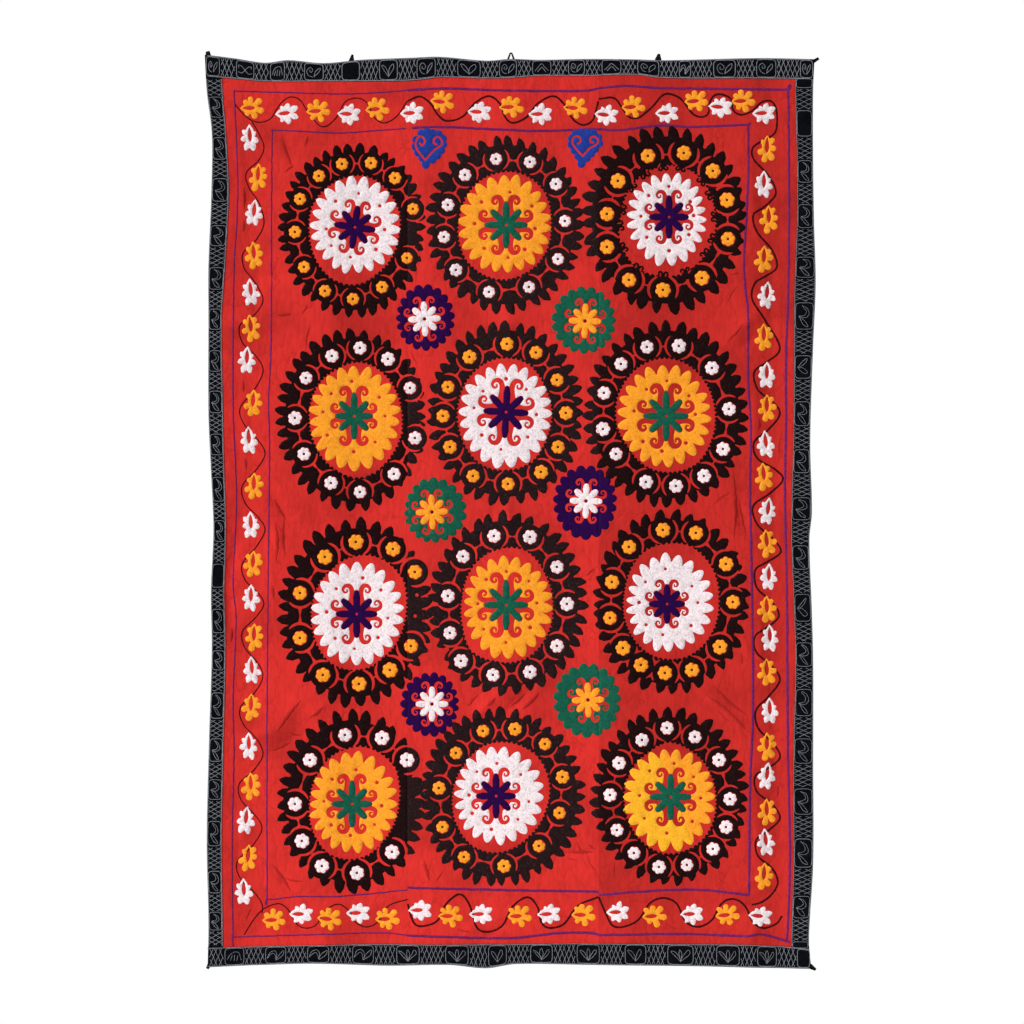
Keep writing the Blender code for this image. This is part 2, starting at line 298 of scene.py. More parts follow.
def add_sheet(cloth, x, z, middle, half):
    """Add a closed sheet: places, rise of its middle towards the viewer and half its thickness."""
    rows, columns = x.shape
    front = np.stack([x, -(middle + half), z], -1).reshape(-1, 3)
    back = np.stack([x, -(middle - half), z], -1).reshape(-1, 3)
    count = rows * columns
    faces = grid_faces(rows, columns, 0, False) + grid_faces(rows, columns, count, True)
    rim = list(range(columns))
    rim += [row * columns + columns - 1 for row in range(1, rows)]
    rim += [(rows - 1) * columns + column for column in range(columns - 2, -1, -1)]
    rim += [row * columns for row in range(rows - 2, 0, -1)]
    for here, after in zip(rim, rim[1:] + rim[:1]):
        faces.append((here, after, after + count, here + count))
    cloth.add(np.concatenate([front, back]), faces)


def line_of(rows, column, shift=0.0):
    """A line of the outline as a function of the other coordinate."""
    return lambda place: smooth(rows, place, column) + shift


def fixed(value):
    """A straight line."""
    return lambda place: np.full_like(np.asarray(place, float), value)


def steps(length, spacing):
    """Even shares of a length, about a spacing apart."""
    return np.linspace(0.0, 1.0, max(2, round(length / spacing) + 1))


# Materials

def linear(red, green, blue):
    """A colour given as the eye sees it, from 0 to 255, as linear light."""
    result = []
    for value in (red, green, blue):
        share = value / 255.0
        result.append(share / 12.92 if share <= 0.04045 else ((share + 0.055) / 1.055) ** 2.4)
    return (*result, 1.0)


class Finish:
    """A material and its nodes."""

    def __init__(self, name, roughness, sheen=0.0, specular=0.15):
        self.material = bpy.data.materials.new(name)
        self.material.use_nodes = True
        self.tree = self.material.node_tree
        self.shader = self.tree.nodes["Principled BSDF"]
        self.shader.inputs["Roughness"].default_value = roughness
        self.shader.inputs["Sheen Weight"].default_value = sheen
        self.shader.inputs["Sheen Roughness"].default_value = 0.5
        self.shader.inputs["Specular IOR Level"].default_value = specular
        self.place = self.node("ShaderNodeTexCoord").outputs["Object"]

    def node(self, kind, **values):
        """A node with its inputs and settings given by name."""
        node = self.tree.nodes.new(kind)
        for name, value in values.items():
            label = name.replace("_", " ")
            if label in node.inputs:
                node.inputs[label].default_value = value
            else:
                setattr(node, name.lower(), value)
        return node

    def link(self, source, target):
        """Join an output to an input."""
        self.tree.links.new(source, target)

    def stretched(self, x, y, z):
        """The place, stretched along the axes."""
        node = self.node("ShaderNodeMapping")
        node.inputs["Scale"].default_value = (x, y, z)
        self.link(self.place, node.inputs["Vector"])
        return node.outputs["Vector"]

    def noise(self, scale, detail=2.0, place=None):
        """Soft noise of a scale to the metre."""
        node = self.node("ShaderNodeTexNoise", Scale=scale, Detail=detail)
        self.link(place or self.place, node.inputs["Vector"])
        return node.outputs["Fac"]

    def cells(self, scale, place=None, feature="F1"):
        """Distance to the middle of round cells."""
        node = self.node("ShaderNodeTexVoronoi", Scale=scale)
        node.feature = feature
        self.link(place or self.place, node.inputs["Vector"])
        return node.outputs["Distance"]

    def ramp(self, source, low, high, colours):
        """Colours spread evenly from a low to a high value of the source."""
        node = self.node("ShaderNodeValToRGB")
        self.link(source, node.inputs["Fac"])
        stops = node.color_ramp.elements
        while len(stops) < len(colours):
            stops.new(0.5)
        for index, colour in enumerate(colours):
            stops[index].position = low + (high - low) * index / (len(colours) - 1)
            stops[index].color = colour
        return node.outputs["Color"]

    def mix(self, share, first, second, blend="MIX"):
        """Two colours, or a colour and an output, mixed by a share."""
        node = self.tree.nodes.new("ShaderNodeMix")
        node.data_type = "RGBA"
        node.blend_type = blend
        sockets = (node.inputs[0], node.inputs[6], node.inputs[7])
        for socket, value in zip(sockets, (share, first, second)):
            if isinstance(value, (float, int, tuple)):
                socket.default_value = value
            else:
                self.link(value, socket)
        return node.outputs[2]

    def math(self, operation, first, second):
        """Two values put together."""
        node = self.tree.nodes.new("ShaderNodeMath")
        node.operation = operation
        for socket, value in zip(node.inputs, (first, second)):
            if isinstance(value, (float, int)):
                socket.default_value = value
            else:
                self.link(value, socket)
        return node.outputs[0]

    def weave(self, **settings):
        """Height of threads along and across."""
        waves = []
        for direction in ("X", "Z"):
            wave = self.node("ShaderNodeTexWave", **settings)
            wave.bands_direction = direction
            self.link(self.place, wave.inputs["Vector"])
            waves.append(wave.outputs["Fac"])
        return self.math("ADD", *waves)

    def bump(self, height, strength, distance):
        """Relief of a height in millimetres."""
        node = self.node("ShaderNodeBump", Strength=strength, Distance=distance * MM)
        self.link(height, node.inputs["Height"])
        self.link(node.outputs["Normal"], self.shader.inputs["Normal"])

    def coloured(self, source):
        """Give the shader its colour."""
        self.link(source, self.shader.inputs["Base Color"])
        return self.material


def darker(colour, share):
    """A colour of the same hue at a share of its light."""
    return (*(value * share for value in colour[:3]), 1.0)


def red_cotton(name, tone):
    """Plain woven cotton with slubs along the warp, a fine weave and crumples, with painted shade darkening
    the crumples' furrows.
    """
    look = Finish(name, 0.8, sheen=0.02, specular=0.08)
    slubs = look.noise(1.0, 4.0, look.stretched(130.0, 60.0, 34.0))
    patches = look.noise(7.0, 4.0)
    cloudy = look.ramp(patches, 0.3, 0.7, [darker(tone, 0.76), tone, darker(tone, 1.08)])
    streaked = look.ramp(slubs, 0.30, 0.62, [(0.80, 0.74, 0.74, 1.0), WHITE])
    crumples = look.noise(16.0, 4.0, look.stretched(1.0, 1.0, 0.62))
    furrow = look.math("ABSOLUTE", look.math("SUBTRACT", crumples, 0.5), 0.0)
    # Painted shade: the colour darkens along the crumples' furrows, where the bump makes its creases.
    painted_crumple_shade = look.ramp(furrow, 0.0, 0.016, [(0.62, 0.54, 0.54, 1.0), WHITE])
    colour = look.mix(0.75, cloudy, streaked, "MULTIPLY")
    colour = look.mix(look.math("SUBTRACT", patches, 0.1), colour, painted_crumple_shade, "MULTIPLY")
    creased = look.math("MULTIPLY_ADD", slubs, 2.0)
    look.link(look.weave(Scale=320.0, Distortion=1.5, Detail=1.0), creased.node.inputs[2])
    folds = look.math("MULTIPLY_ADD", look.math("MINIMUM", furrow, 0.06), 80.0)
    look.link(creased, folds.node.inputs[2])
    look.bump(folds, 0.40, 0.38)
    return look.coloured(colour)


def thread(name, tone, shade, fleck, specular):
    """Close couched stitches: pebbles with painted shade between them and flecks of other tones."""
    look = Finish(name, 0.65, sheen=0.02, specular=specular)
    pebbles = look.cells(250.0, look.stretched(1.0, 1.0, 0.8))
    patches = look.noise(60.0, 3.0)
    grain = look.noise(260.0, 2.0)
    body = look.ramp(patches, 0.32, 0.68, [darker(tone, 0.90), tone, darker(tone, 1.05)])
    # Painted shade: the colour darkens towards each pebble's edge, between the stitches.
    painted_gap_shade = look.ramp(pebbles, 0.35, 0.85, [WHITE, shade])
    stitched = look.mix(0.8, body, painted_gap_shade, "MULTIPLY")
    specks = look.ramp(grain, 0.60, 0.72, [BLACK, WHITE])
    colour = look.mix(look.math("MULTIPLY", specks, 0.5), stitched, fleck)
    look.bump(look.math("SUBTRACT", 1.0, pebbles), 0.6, 0.5)
    return look.coloured(colour)


def woven(name, tone, other, scale):
    """A dark woven band, with its threads along and across."""
    look = Finish(name, 0.85, sheen=0.01, specular=0.05)
    grain = look.noise(90.0, 4.0)
    body = look.ramp(grain, 0.3, 0.75, [tone, other])
    look.bump(look.weave(Scale=scale, Distortion=1.0), 0.4, 0.3)
    return look.coloured(body)


RED = linear(217, 47, 42)
RED_RIGHT = linear(198, 42, 37)
# Threads, a row each: colour, painted shade between the stitches, colour of the flecks, gloss
THREADS = {
    "black_thread": ((27, 5, 6), (0.5, 0.5, 0.5), (48, 40, 42), 0.05),
    "charcoal_thread": ((37, 19, 21), (0.5, 0.5, 0.5), (68, 60, 62), 0.05),
    "white_thread": ((246, 232, 233), (0.68, 0.64, 0.70), (200, 188, 208), 0.12),
    "orange_thread": ((249, 162, 40), (0.86, 0.68, 0.5), (226, 126, 26), 0.12),
    "yellow_thread": ((250, 182, 40), (0.86, 0.72, 0.5), (236, 160, 24), 0.12),
    "green_thread": ((8, 90, 68), (0.6, 0.6, 0.6), (26, 112, 88), 0.12),
    "purple_thread": ((38, 0, 64), (0.6, 0.5, 0.7), (60, 14, 94), 0.05),
    "blue_thread": ((26, 57, 146), (0.6, 0.6, 0.75), (44, 80, 176), 0.12),
    "violet_line": ((108, 26, 90), (0.6, 0.5, 0.7), (140, 62, 130), 0.12),
    "maroon_thread": ((62, 8, 14), (0.6, 0.5, 0.5), (30, 6, 10), 0.05),
    "border_stitch": ((136, 139, 146), (0.5, 0.5, 0.52), (178, 180, 186), 0.12),
}
LOOKS = {name: thread(name, linear(*tone), (*shade, 1.0), linear(*fleck), gloss)
         for name, (tone, shade, fleck, gloss) in THREADS.items()}
STRIP_LOOK = woven("border_band", linear(1, 2, 6), linear(12, 14, 21), 420.0)
TAPE_LOOK = woven("loop_tape", linear(10, 10, 12), linear(26, 26, 28), 300.0)
COTTON = red_cotton("red_cotton", RED)
COTTONS = {"left": COTTON, "middle": COTTON, "right": red_cotton("red_cotton_right", RED_RIGHT)}
# Painted shade: the crease ridges get a red cotton darkened to stand in for the shade in their folds.
CREASE_SHADE_COTTON = red_cotton("red_cotton_creased", darker(RED_RIGHT, 0.80))

# Widths of cloth
CLOTH_CELL = 7.0
EDGES = {"left": (-FAR, SEAMS[0]), "middle": SEAMS, "right": (SEAMS[1], FAR)}
top_raw = line_of(TOP_SIDE, 2, LAP)
bottom_raw = line_of(BOTTOM_SIDE, 2, -LAP)
for side, (low, high) in EDGES.items():
    left = line_of(LEFT_SIDE, 2, -LAP) if side == "left" else fixed(low)
    right = line_of(RIGHT_SIDE, 2, LAP) if side == "right" else fixed(high)
    width = float(right(-1100.0) - left(-1100.0))
    cloth = Cloth()
    x, z = sheet_points(left, right, top_raw, bottom_raw, steps(width, CLOTH_CELL),
                        steps(2080.0, CLOTH_CELL))
    add_sheet(cloth, x, z, folded(x, z), CLOTH_THICK / 2)
    cloth.made("cotton_" + side, COTTONS[side], "red_cotton")
    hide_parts("panel_" + side)

# Border strips, a row each across: share from the outer edge, rise over the cloth, half thickness
STRIP_SECTION = (
    (0.0, 2.0, 0.35), (0.03, 2.05, 0.75), (0.12, 2.05, 0.65), (0.30, 2.05, 0.60), (0.50, 2.05, 0.60),
    (0.70, 2.00, 0.60), (0.88, 1.75, 0.60), (0.97, 1.45, 0.60), (1.0, 1.20, 0.35),
)
section = np.array(STRIP_SECTION)
STRIP_CELL = 7.0


def strip_rise(x, z, share):
    """Rise of a strip's middle."""
    return rise_at(x, z) + np.interp(share, section[:, 0], section[:, 1])


def strip_places(side, along, across):
    """Places on a strip: along from left to right or from top to bottom, across from outer edge in."""
    if side in ("top", "bottom"):
        rows = TOP_SIDE if side == "top" else BOTTOM_SIDE
        left = line_of(LEFT_SIDE, 1)
        right = line_of(RIGHT_SIDE, 1)
        return sheet_points(left, right, line_of(rows, 1), line_of(rows, 2), along, across)
    rows = LEFT_SIDE if side == "left" else RIGHT_SIDE
    top = line_of(TOP_SIDE, 2)
    bottom = line_of(BOTTOM_SIDE, 2)
    return sheet_points(line_of(rows, 1), line_of(rows, 2), top, bottom, across, along)


for side in ("top", "bottom", "left", "right"):
    level = side in ("top", "bottom")
    along = steps(1450.0 if level else 2080.0, STRIP_CELL)
    shares = section[:, 0]
    x, z = strip_places(side, along, shares)
    share = shares[:, None] if level else shares[None, :]
    share = np.broadcast_to(share, x.shape)
    half = np.interp(share, section[:, 0], section[:, 2])
    cloth = Cloth()
    if side in ("bottom", "right"):
        x, z, share, half = (array[::-1] if level else array[:, ::-1] for array in (x, z, share, half))
    add_sheet(cloth, x, z, strip_rise(x, z, share), half)
    cloth.made("band_" + side, STRIP_LOOK, "border_band")
    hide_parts("strip_" + side)

# Loops of black tape

LOOP_CROWN = 2.7
LOOP_LEG_X = 7.2
LOOP_LEG_Z = -13.5
LOOP_TAIL_Z = -27.0
LOOP_CROWN_HALF = 1.9
CROWN_STEPS = 16
LOOP_LEG_HALF = 2.5
FOLDED_LOOPS = (
    ("loop_top_left", -382.6, -15.6, 8, 14.4, 13.0, 4.5),
    ("loop_top_right", 353.5, -12.4, 8, 12.8, 15.5, 5.5),
    ("loop_corner_top_left", -726.0, -5.5, -10, 12.0, 13.0, 9.5),
    ("loop_corner_top_right", 725.5, -18.0, 59, 15.0, 8.5, 6.5),
    ("loop_corner_bottom_left", -722.5, -2183.0, -152, 13.5, 10.5, 7.0),
    ("loop_corner_bottom_right", 718.0, -2189.5, 121, 15.5, 13.0, 6.0),
)
FOLDED_SIDE = (
    (0.0, 0.0), (0.40, 0.0), (0.78, 0.1), (0.95, 1.4), (1.0, 3.6), (0.95, 5.8), (0.78, 7.3), (0.40, 7.6),
    (0.18, 6.4), (0.0, 2.8),
)
FOLDED_TAIL = 12.0
TAIL_APART = 1.9
TAPE_HALF = 0.55
TAPE_ACROSS = ((-1.0, 0.35), (-0.86, 1.0), (-0.45, 0.8), (0.0, 0.95), (0.45, 0.8), (0.86, 1.0),
               (1.0, 0.35))
BEHIND_STRIP = -0.1   # a sewn tape's middle, back from the cloth's middle


def curved(path, count):
    """Points on a smooth curve through a path, with a number of steps to each stretch."""
    path = np.asarray(path, float)
    padded = np.concatenate([2 * path[:1] - path[1:2], path, 2 * path[-1:] - path[-2:-1]])
    found = []
    for index in range(len(path) - 1):
        before, start, end, after = padded[index:index + 4]
        for step in range(count):
            t = step / count
            first = 2 * start
            second = (end - before) * t
            third = (2 * before - 5 * start + 4 * end - after) * t * t
            fourth = (3 * start - before - 3 * end + after) * t ** 3
            found.append(0.5 * (first + second + third + fourth))
    found.append(path[-1])
    return np.array(found)


def tape(cloth, middles, halves):
    """Add a woven tape with thick edges along its middles, each with half its width as a vector."""
    rows = []
    for index, (middle, half) in enumerate(zip(middles, halves)):
        before = middles[max(index - 1, 0)]
        after = middles[min(index + 1, len(middles) - 1)]
        face = np.cross(after - before, half)
        face /= np.linalg.norm(face)
        front = [middle + half * side + face * TAPE_HALF * thick for side, thick in TAPE_ACROSS]
        back = [middle + half * side - face * TAPE_HALF * thick for side, thick in TAPE_ACROSS[::-1]]
        rows.append(front + back)
    around = len(rows[0])
    faces = []
    for row in range(len(rows) - 1):
        for step in range(around):
            here = row * around + step
            after = row * around + (step + 1) % around
            faces.append((here, here + around, after + around, after))
    faces.append(tuple(range(around)))
    faces.append(tuple(range(len(rows) * around - 1, (len(rows) - 1) * around - 1, -1)))
    cloth.add(np.concatenate(rows), faces)


def behind(x, z):
    """How far back a tape's middle lies where it is sewn behind a strip."""
    return -float(folded(np.array([x]), np.array([z]))[0]) + BEHIND_STRIP


def add_loop(name, middles, halves):
    """Make the tape that shows one of the solids' loops."""
    cloth = Cloth()
    tape(cloth, middles, halves)
    cloth.made(name.replace("loop", "tape"), TAPE_LOOK, "loop_tape")
    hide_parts(name)


crown_z = LOOP_CROWN_HALF - LOOP_CROWN
path = [(LOOP_LEG_X, LOOP_TAIL_Z), (LOOP_LEG_X, LOOP_LEG_Z)]
for step in range(CROWN_STEPS + 1):
    turn = pi * step / CROWN_STEPS
    path.append((LOOP_CROWN * cos(turn), crown_z + LOOP_CROWN * sin(turn)))
path += [(-LOOP_LEG_X, LOOP_LEG_Z), (-LOOP_LEG_X, LOOP_TAIL_Z)]
middles = [np.array((x, behind(x, z), z)) for x, z in path]
halves = []
for index, middle in enumerate(middles):
    run = middles[min(index + 1, len(middles) - 1)] - middles[max(index - 1, 0)]
    half = LOOP_CROWN_HALF if 2 <= index < len(middles) - 2 else LOOP_LEG_HALF
    halves.append(np.array((run[2], 0.0, -run[0])) / hypot(run[0], run[2]) * half)
add_loop("loop_top_middle", middles, halves)

for name, x, z, lean, reach, root_width, tip_width in FOLDED_LOOPS:
    out = np.array((sin(radians(lean)), 0.0, cos(radians(lean))))
    level = np.array((out[2], 0.0, -out[0]))
    side = [(-FOLDED_TAIL, 0.0), (-FOLDED_TAIL / 2, 0.0)]
    side += [(share * reach, back) for share, back in FOLDED_SIDE]
    side += [(-FOLDED_TAIL / 2, TAIL_APART), (-FOLDED_TAIL, TAIL_APART)]
    middles = []
    halves = []
    for along, back in curved(side, 3):
        middle = np.array((x, 0.0, z)) + out * along
        share = min(max(along / reach, 0.0), 1.0)
        middle[1] = behind(middle[0], middle[2]) + back
        middles.append(middle)
        halves.append(level * 0.5 * (root_width + (tip_width - root_width) * share))
    add_loop(name, middles, halves)

# Stitched shapes

MARGIN = 5.0          # how far past a shape its distance is worked out
FILL_CELL = 9.0       # spacing of the points inside a stitched shape
STRAIGHT = 0.13       # how far off a line a point of an outline may lie, in grid steps
EDGE_RISE = 0.3       # height of a stitched shape at its very edge
RIM_RISE = 0.1        # and of its reverse there
FINE = 1.6            # spacing of the grid that small shapes are drawn on
COARSE = 1.9          # and of the one for the great rings


class Shape:
    """Distance to the edge of a stitched shape on a grid of places, negative inside it."""

    def __init__(self, box, step):
        low_x, high_x, low_z, high_z = box
        self.step = step
        self.x = np.arange(low_x - MARGIN, high_x + MARGIN, step)
        self.z = np.arange(low_z - MARGIN, high_z + MARGIN, step)
        self.field = np.full((len(self.z), len(self.x)), FAR)

    def around(self, low_x, high_x, low_z, high_z):
        """The part of the grid inside a box, and its places."""
        first, last = np.searchsorted(self.x, (low_x, high_x))
        columns = slice(max(first - 1, 0), last + 1)
        first, last = np.searchsorted(self.z, (low_z, high_z))
        rows = slice(max(first - 1, 0), last + 1)
        x, z = np.meshgrid(self.x[columns], self.z[rows])
        return (rows, columns), x, z

    def put(self, spot, distance, cut):
        """Join a shape's distance to this one, or take that shape away."""
        if cut:
            self.field[spot] = np.maximum(self.field[spot], -distance)
        else:
            self.field[spot] = np.minimum(self.field[spot], distance)

    def disc(self, x, z, radius, cut=False):
        """Join or cut a disc."""
        reach = radius + MARGIN
        spot, grid_u, grid_v = self.around(x - reach, x + reach, z - reach, z + reach)
        self.put(spot, np.hypot(grid_u - x, grid_v - z) - radius, cut)

    def stroke(self, path, radii, cut=False):
        """Join or cut a stroke whose half width changes along its path."""
        path = np.asarray(path, float)
        radii = np.broadcast_to(np.asarray(radii, float), len(path))
        reach = radii.max() + MARGIN
        low = path.min(0) - reach
        high = path.max(0) + reach
        spot, x, z = self.around(low[0], high[0], low[1], high[1])
        if not x.size:
            return
        nearest = np.full(x.shape, FAR)
        for start, end, first, last in zip(path[:-1], path[1:], radii[:-1], radii[1:]):
            run = end - start
            along = ((x - start[0]) * run[0] + (z - start[1]) * run[1]) / max(run @ run, 1e-9)
            along = np.clip(along, 0.0, 1.0)
            away = np.hypot(x - start[0] - along * run[0], z - start[1] - along * run[1])
            nearest = np.minimum(nearest, away - first - along * (last - first))
        self.put(spot, nearest, cut)

    def round(self, x, z, edge, cut=False):
        """Join or cut a form whose edge is a radius for each angle round a middle."""
        grid_u, grid_v = np.meshgrid(self.x, self.z)
        distance = np.hypot(grid_u - x, grid_v - z) - edge(np.arctan2(grid_v - z, grid_u - x))
        slope_v, slope_u = np.gradient(distance, self.step)
        distance /= np.maximum(np.hypot(slope_u, slope_v), 1.0)
        self.put(slice(None), distance, cut)


def edge_line(field, level):
    """The line where a field is at a level: its points in grid steps, and pairs of them."""
    field = field - level
    field[field == 0] = 1e-6
    inside = field < 0
    level_cross = inside[:, :-1] != inside[:, 1:]
    upright_cross = inside[:-1, :] != inside[1:, :]
    level_id = -np.ones(level_cross.shape, int)
    upright_id = -np.ones(upright_cross.shape, int)
    count = level_cross.sum()
    level_id[level_cross] = np.arange(count)
    upright_id[upright_cross] = count + np.arange(upright_cross.sum())
    row, column = np.nonzero(level_cross)
    share = field[row, column] / (field[row, column] - field[row, column + 1])
    level_points = np.stack([column + np.clip(share, 0.08, 0.92), row], 1)
    row, column = np.nonzero(upright_cross)
    share = field[row, column] / (field[row, column] - field[row + 1, column])
    upright_points = np.stack([column, row + np.clip(share, 0.08, 0.92)], 1)
    sides = (level_id[:-1, :], upright_id[:, 1:], level_id[1:, :], upright_id[:, :-1])
    sides = np.stack(sides, -1).reshape(-1, 4)
    crossed = (sides >= 0).sum(1)
    simple = np.sort(sides[crossed == 2], 1)[:, 2:]
    saddle = sides[crossed == 4]
    pairs = np.concatenate([simple, saddle[:, :2], saddle[:, 2:]])
    return thinned(np.concatenate([level_points, upright_points]), pairs)


def thinned(points, pairs):
    """Closed outlines without the points that lie nearly on a line between their neighbours."""
    joined = [[] for _ in points]
    for first, last in pairs.tolist():
        joined[first].append(last)
        joined[last].append(first)
    seen = [False] * len(points)
    kept = [np.zeros((0, 2))]
    links = [np.zeros((0, 2), int)]
    count = 0
    for start in range(len(points)):
        loop = []
        here = start
        while not seen[here]:
            seen[here] = True
            loop.append(here)
            here = next((other for other in joined[here] if not seen[other]), here)
        if len(loop) < 3:
            continue
        ring = points[loop]
        for _ in range(3):
            odd = np.arange(1, len(ring) - 1, 2)
            run = ring[odd + 1] - ring[odd - 1]
            off = ring[odd] - ring[odd - 1]
            away = np.abs(off[:, 0] * run[:, 1] - off[:, 1] * run[:, 0])
            dropped = odd[away < STRAIGHT * np.hypot(run[:, 0], run[:, 1])]
            if len(ring) - len(dropped) < 6:
                break
            ring = np.delete(ring, dropped, axis=0)
        order = np.arange(len(ring))
        links.append(np.stack([order, np.roll(order, -1)], 1) + count)
        kept.append(ring)
        count += len(ring)
    return np.concatenate(kept), np.concatenate(links)


def filled(field, points, pairs):
    """Triangles between points that lie inside a field's edge."""
    found, _, faces, *_ = delaunay_2d_cdt(points.tolist(), pairs.tolist(), [], 0, 1e-5, False)
    found = np.array([tuple(point) for point in found])
    faces = np.array([face for face in faces if len(face) == 3])
    return found, faces[sampled(field, *found[faces].mean(1).T) < 0]


def turn_faces(points, faces, way):
    """Turn triangles so that they run round one way."""
    corners = points[faces]
    turn = np.cross(corners[:, 1] - corners[:, 0], corners[:, 2] - corners[:, 0]) * way
    faces[turn < 0] = faces[turn < 0][:, ::-1]


def stitch(cloth, shape, low, high):
    """Add the part of a shape between two seams as padded stitching through the cloth."""
    field = np.maximum(shape.field, np.maximum(low - shape.x, shape.x - high)[None, :])
    field[0, :] = field[-1, :] = MARGIN
    field[:, 0] = field[:, -1] = MARGIN
    if not (field < 0).any():
        return
    step = shape.step
    outer, outer_pairs = edge_line(field, 0.0)
    inner, inner_pairs = edge_line(field, -SHOULDER)
    cell = FILL_CELL / step
    u, v = np.meshgrid(np.arange(0.5, field.shape[1] - 1, cell), np.arange(0.5, field.shape[0] - 1, cell))
    u[1::2] += cell / 2
    inside = np.stack([u.ravel(), v.ravel()], 1)
    depth = -sampled(field, *inside.T)
    front_points = np.concatenate([outer, inner, inside[depth > SHOULDER + 0.3 * FILL_CELL]])
    pairs = np.concatenate([outer_pairs, inner_pairs + len(outer)])
    front, front_faces = filled(field, front_points, pairs)
    back_points = np.concatenate([outer, inside[depth > 0.5 * FILL_CELL]])
    back, back_faces = filled(field, back_points, outer_pairs)
    turn_faces(front, front_faces, 1)
    turn_faces(back, back_faces, -1)
    edges = np.concatenate([front_faces[:, [0, 1]], front_faces[:, [1, 2]], front_faces[:, [2, 0]]])
    keys = edges[:, 0] * len(front) + edges[:, 1]
    partner = edges[:, 1] * len(front) + edges[:, 0]
    rim = edges[~np.isin(keys, partner)]
    on_rim = np.zeros(len(front), bool)
    on_rim[rim.ravel()] = True
    share = np.clip(-sampled(field, *front.T) / SHOULDER, 0.0, 1.0)
    height = EDGE_RISE + (RELIEF - EDGE_RISE) * (1.0 - (1.0 - share) ** 2)
    height[on_rim] = EDGE_RISE

    def placed(points, over, side):
        x = shape.x[0] + points[:, 0] * step
        z = shape.z[0] + points[:, 1] * step
        return np.stack([x, -(rise_at(x, z) + side * (CLOTH_THICK / 2 + over)), z], 1)

    depth = np.clip(-sampled(field, *back.T) / SHOULDER, 0.0, 1.0)
    front_placed = placed(front, height, 1)
    back_placed = placed(back, RIM_RISE + (BACK_RELIEF - RIM_RISE) * depth, -1)
    rim_back = placed(front, RIM_RISE, -1)
    cloth.add(front_placed, front_faces)
    cloth.add(back_placed, back_faces)
    walls = np.stack([rim[:, 1], rim[:, 0], rim[:, 0] + len(front), rim[:, 1] + len(front)], 1)
    cloth.add(np.concatenate([front_placed, rim_back]), walls)


# Stitching gathered by thread and by width of cloth
gathered = {}


def sew(slot, shape):
    """Stitch a shape in a thread on each width of cloth that it lies on."""
    for side, (low, high) in EDGES.items():
        if shape.x[-1] < low or shape.x[0] > high:
            continue
        used = "charcoal_thread" if slot == "black_thread" and side == "middle" else slot
        stitch(gathered.setdefault((used, side), Cloth()), shape, low, high)


# Great rosettes, a row each: core, middle of its star, the star's reach across and up, the core's
# left, right, top and bottom, the leaves' left, right, top and bottom, the star's turn in degrees
# and the size of its small flowers and leaves
ROSETTES = (
    ("white", (354.8, 227.2), (20, 21), (310, 401, 176, 274), (277.6, 426, 142.6, 319), 8, 1.00),
    ("orange", (506, 225), (21, 23), (457, 552, 174, 274), (425, 584, 135, 314), 0, 1.06),
    ("white", (669, 217), (19, 21), (627, 707, 172, 267), (580, 747, 125, 315), 0, 1.24),
    ("orange", (354, 416), (18, 23), (309, 401, 365, 472), (275, 427, 328, 512), 0, 1.10),
    ("white", (506, 412), (22, 26), (458, 552.5, 363.5, 469), (427, 584, 320, 507), 3, 1.12),
    ("orange", (666, 416), (22, 25), (617, 711, 364, 468), (582, 750, 320, 508), 0, 1.14),
    ("white", (356.6, 614), (20, 23.5), (310, 404, 561, 666), (277, 433, 517, 708), 0, 1.22),
    ("orange", (506, 605), (21.6, 25), (463, 553, 555, 660), (428, 588, 510, 697), 0, 1.14),
    ("white", (667, 604), (17, 19), (626, 714, 553, 653), (593, 750, 508, 695), 0, 1.18),
    ("orange", (352, 804), (19.5, 23), (309, 398, 751, 853), (276, 426, 709, 894), 0, 1.20),
    ("white", (496, 796), (19, 22), (454, 545, 745.5, 845), (419, 587, 707, 887.5), 0, 1.08),
    ("yellow", (670.6, 797), (20, 22.6), (622, 716, 748, 852), (590, 749, 707, 886), 0, 1.12),
)

# Middles of each rosette's small flowers, in the same order
FLORETS = (
    ((342, 164), (371, 163), (395, 178), (413, 209), (407, 258), (382, 287), (353, 299), (325, 291),
     (304, 267), (295, 232), (300, 199), (319, 176)),
    ((496, 159), (530, 162), (556, 184), (565, 221), (558, 259), (529, 287), (489, 292), (456, 270),
     (444, 237), (448, 205), (465, 175)),
    ((648, 156), (684, 153), (713, 171), (727, 200), (728, 239), (702, 278), (663, 290), (629, 280),
     (607, 247), (607, 214), (618, 181)),
    ((360, 348), (388, 359), (410, 388), (415, 438), (394, 474), (360, 492), (331, 483), (304, 454),
     (295, 418), (306, 378), (332, 356)),
    ((507, 344), (536, 352.5), (557, 380), (566, 413), (558, 447), (541, 472), (508, 484), (473, 476),
     (450, 447), (443, 416), (448, 387), (469.5, 357)),
    ((647, 347), (679, 346), (712, 368), (729, 409), (723, 449), (704, 476), (676, 486), (646, 482),
     (616, 454), (603, 429), (604, 393), (621, 364)),
    ((356, 542), (393, 549), (415, 572), (411, 646), (390, 670), (359, 684), (323, 675), (300, 638),
     (300, 593), (325, 557)),
    ((494, 536), (530, 537), (557, 567), (567, 604), (557, 646), (530, 672), (493, 675), (461, 661),
     (450, 633), (448, 596), (463, 556.5)),
    ((663, 530), (696, 533), (726, 564), (733, 602), (720, 647), (692, 670), (665, 673), (641, 665),
     (623, 648), (610, 618), (612, 582), (629, 547)),
    ((345, 735), (382, 738), (407, 760), (392, 852), (357, 873), (322, 866), (302, 841), (295, 804),
     (310, 760)),
    ((483, 731), (515, 729), (545, 744), (562.5, 777), (559.5, 813), (539, 846), (504, 866), (464, 857),
     (442.5, 827), (439, 788), (456, 753)),
    ((667, 728), (695, 737), (719, 760), (730, 799), (726, 827), (713, 849), (687, 865), (659, 867),
     (634, 853), (617, 830), (610, 795), (619, 763), (642, 740)),
)
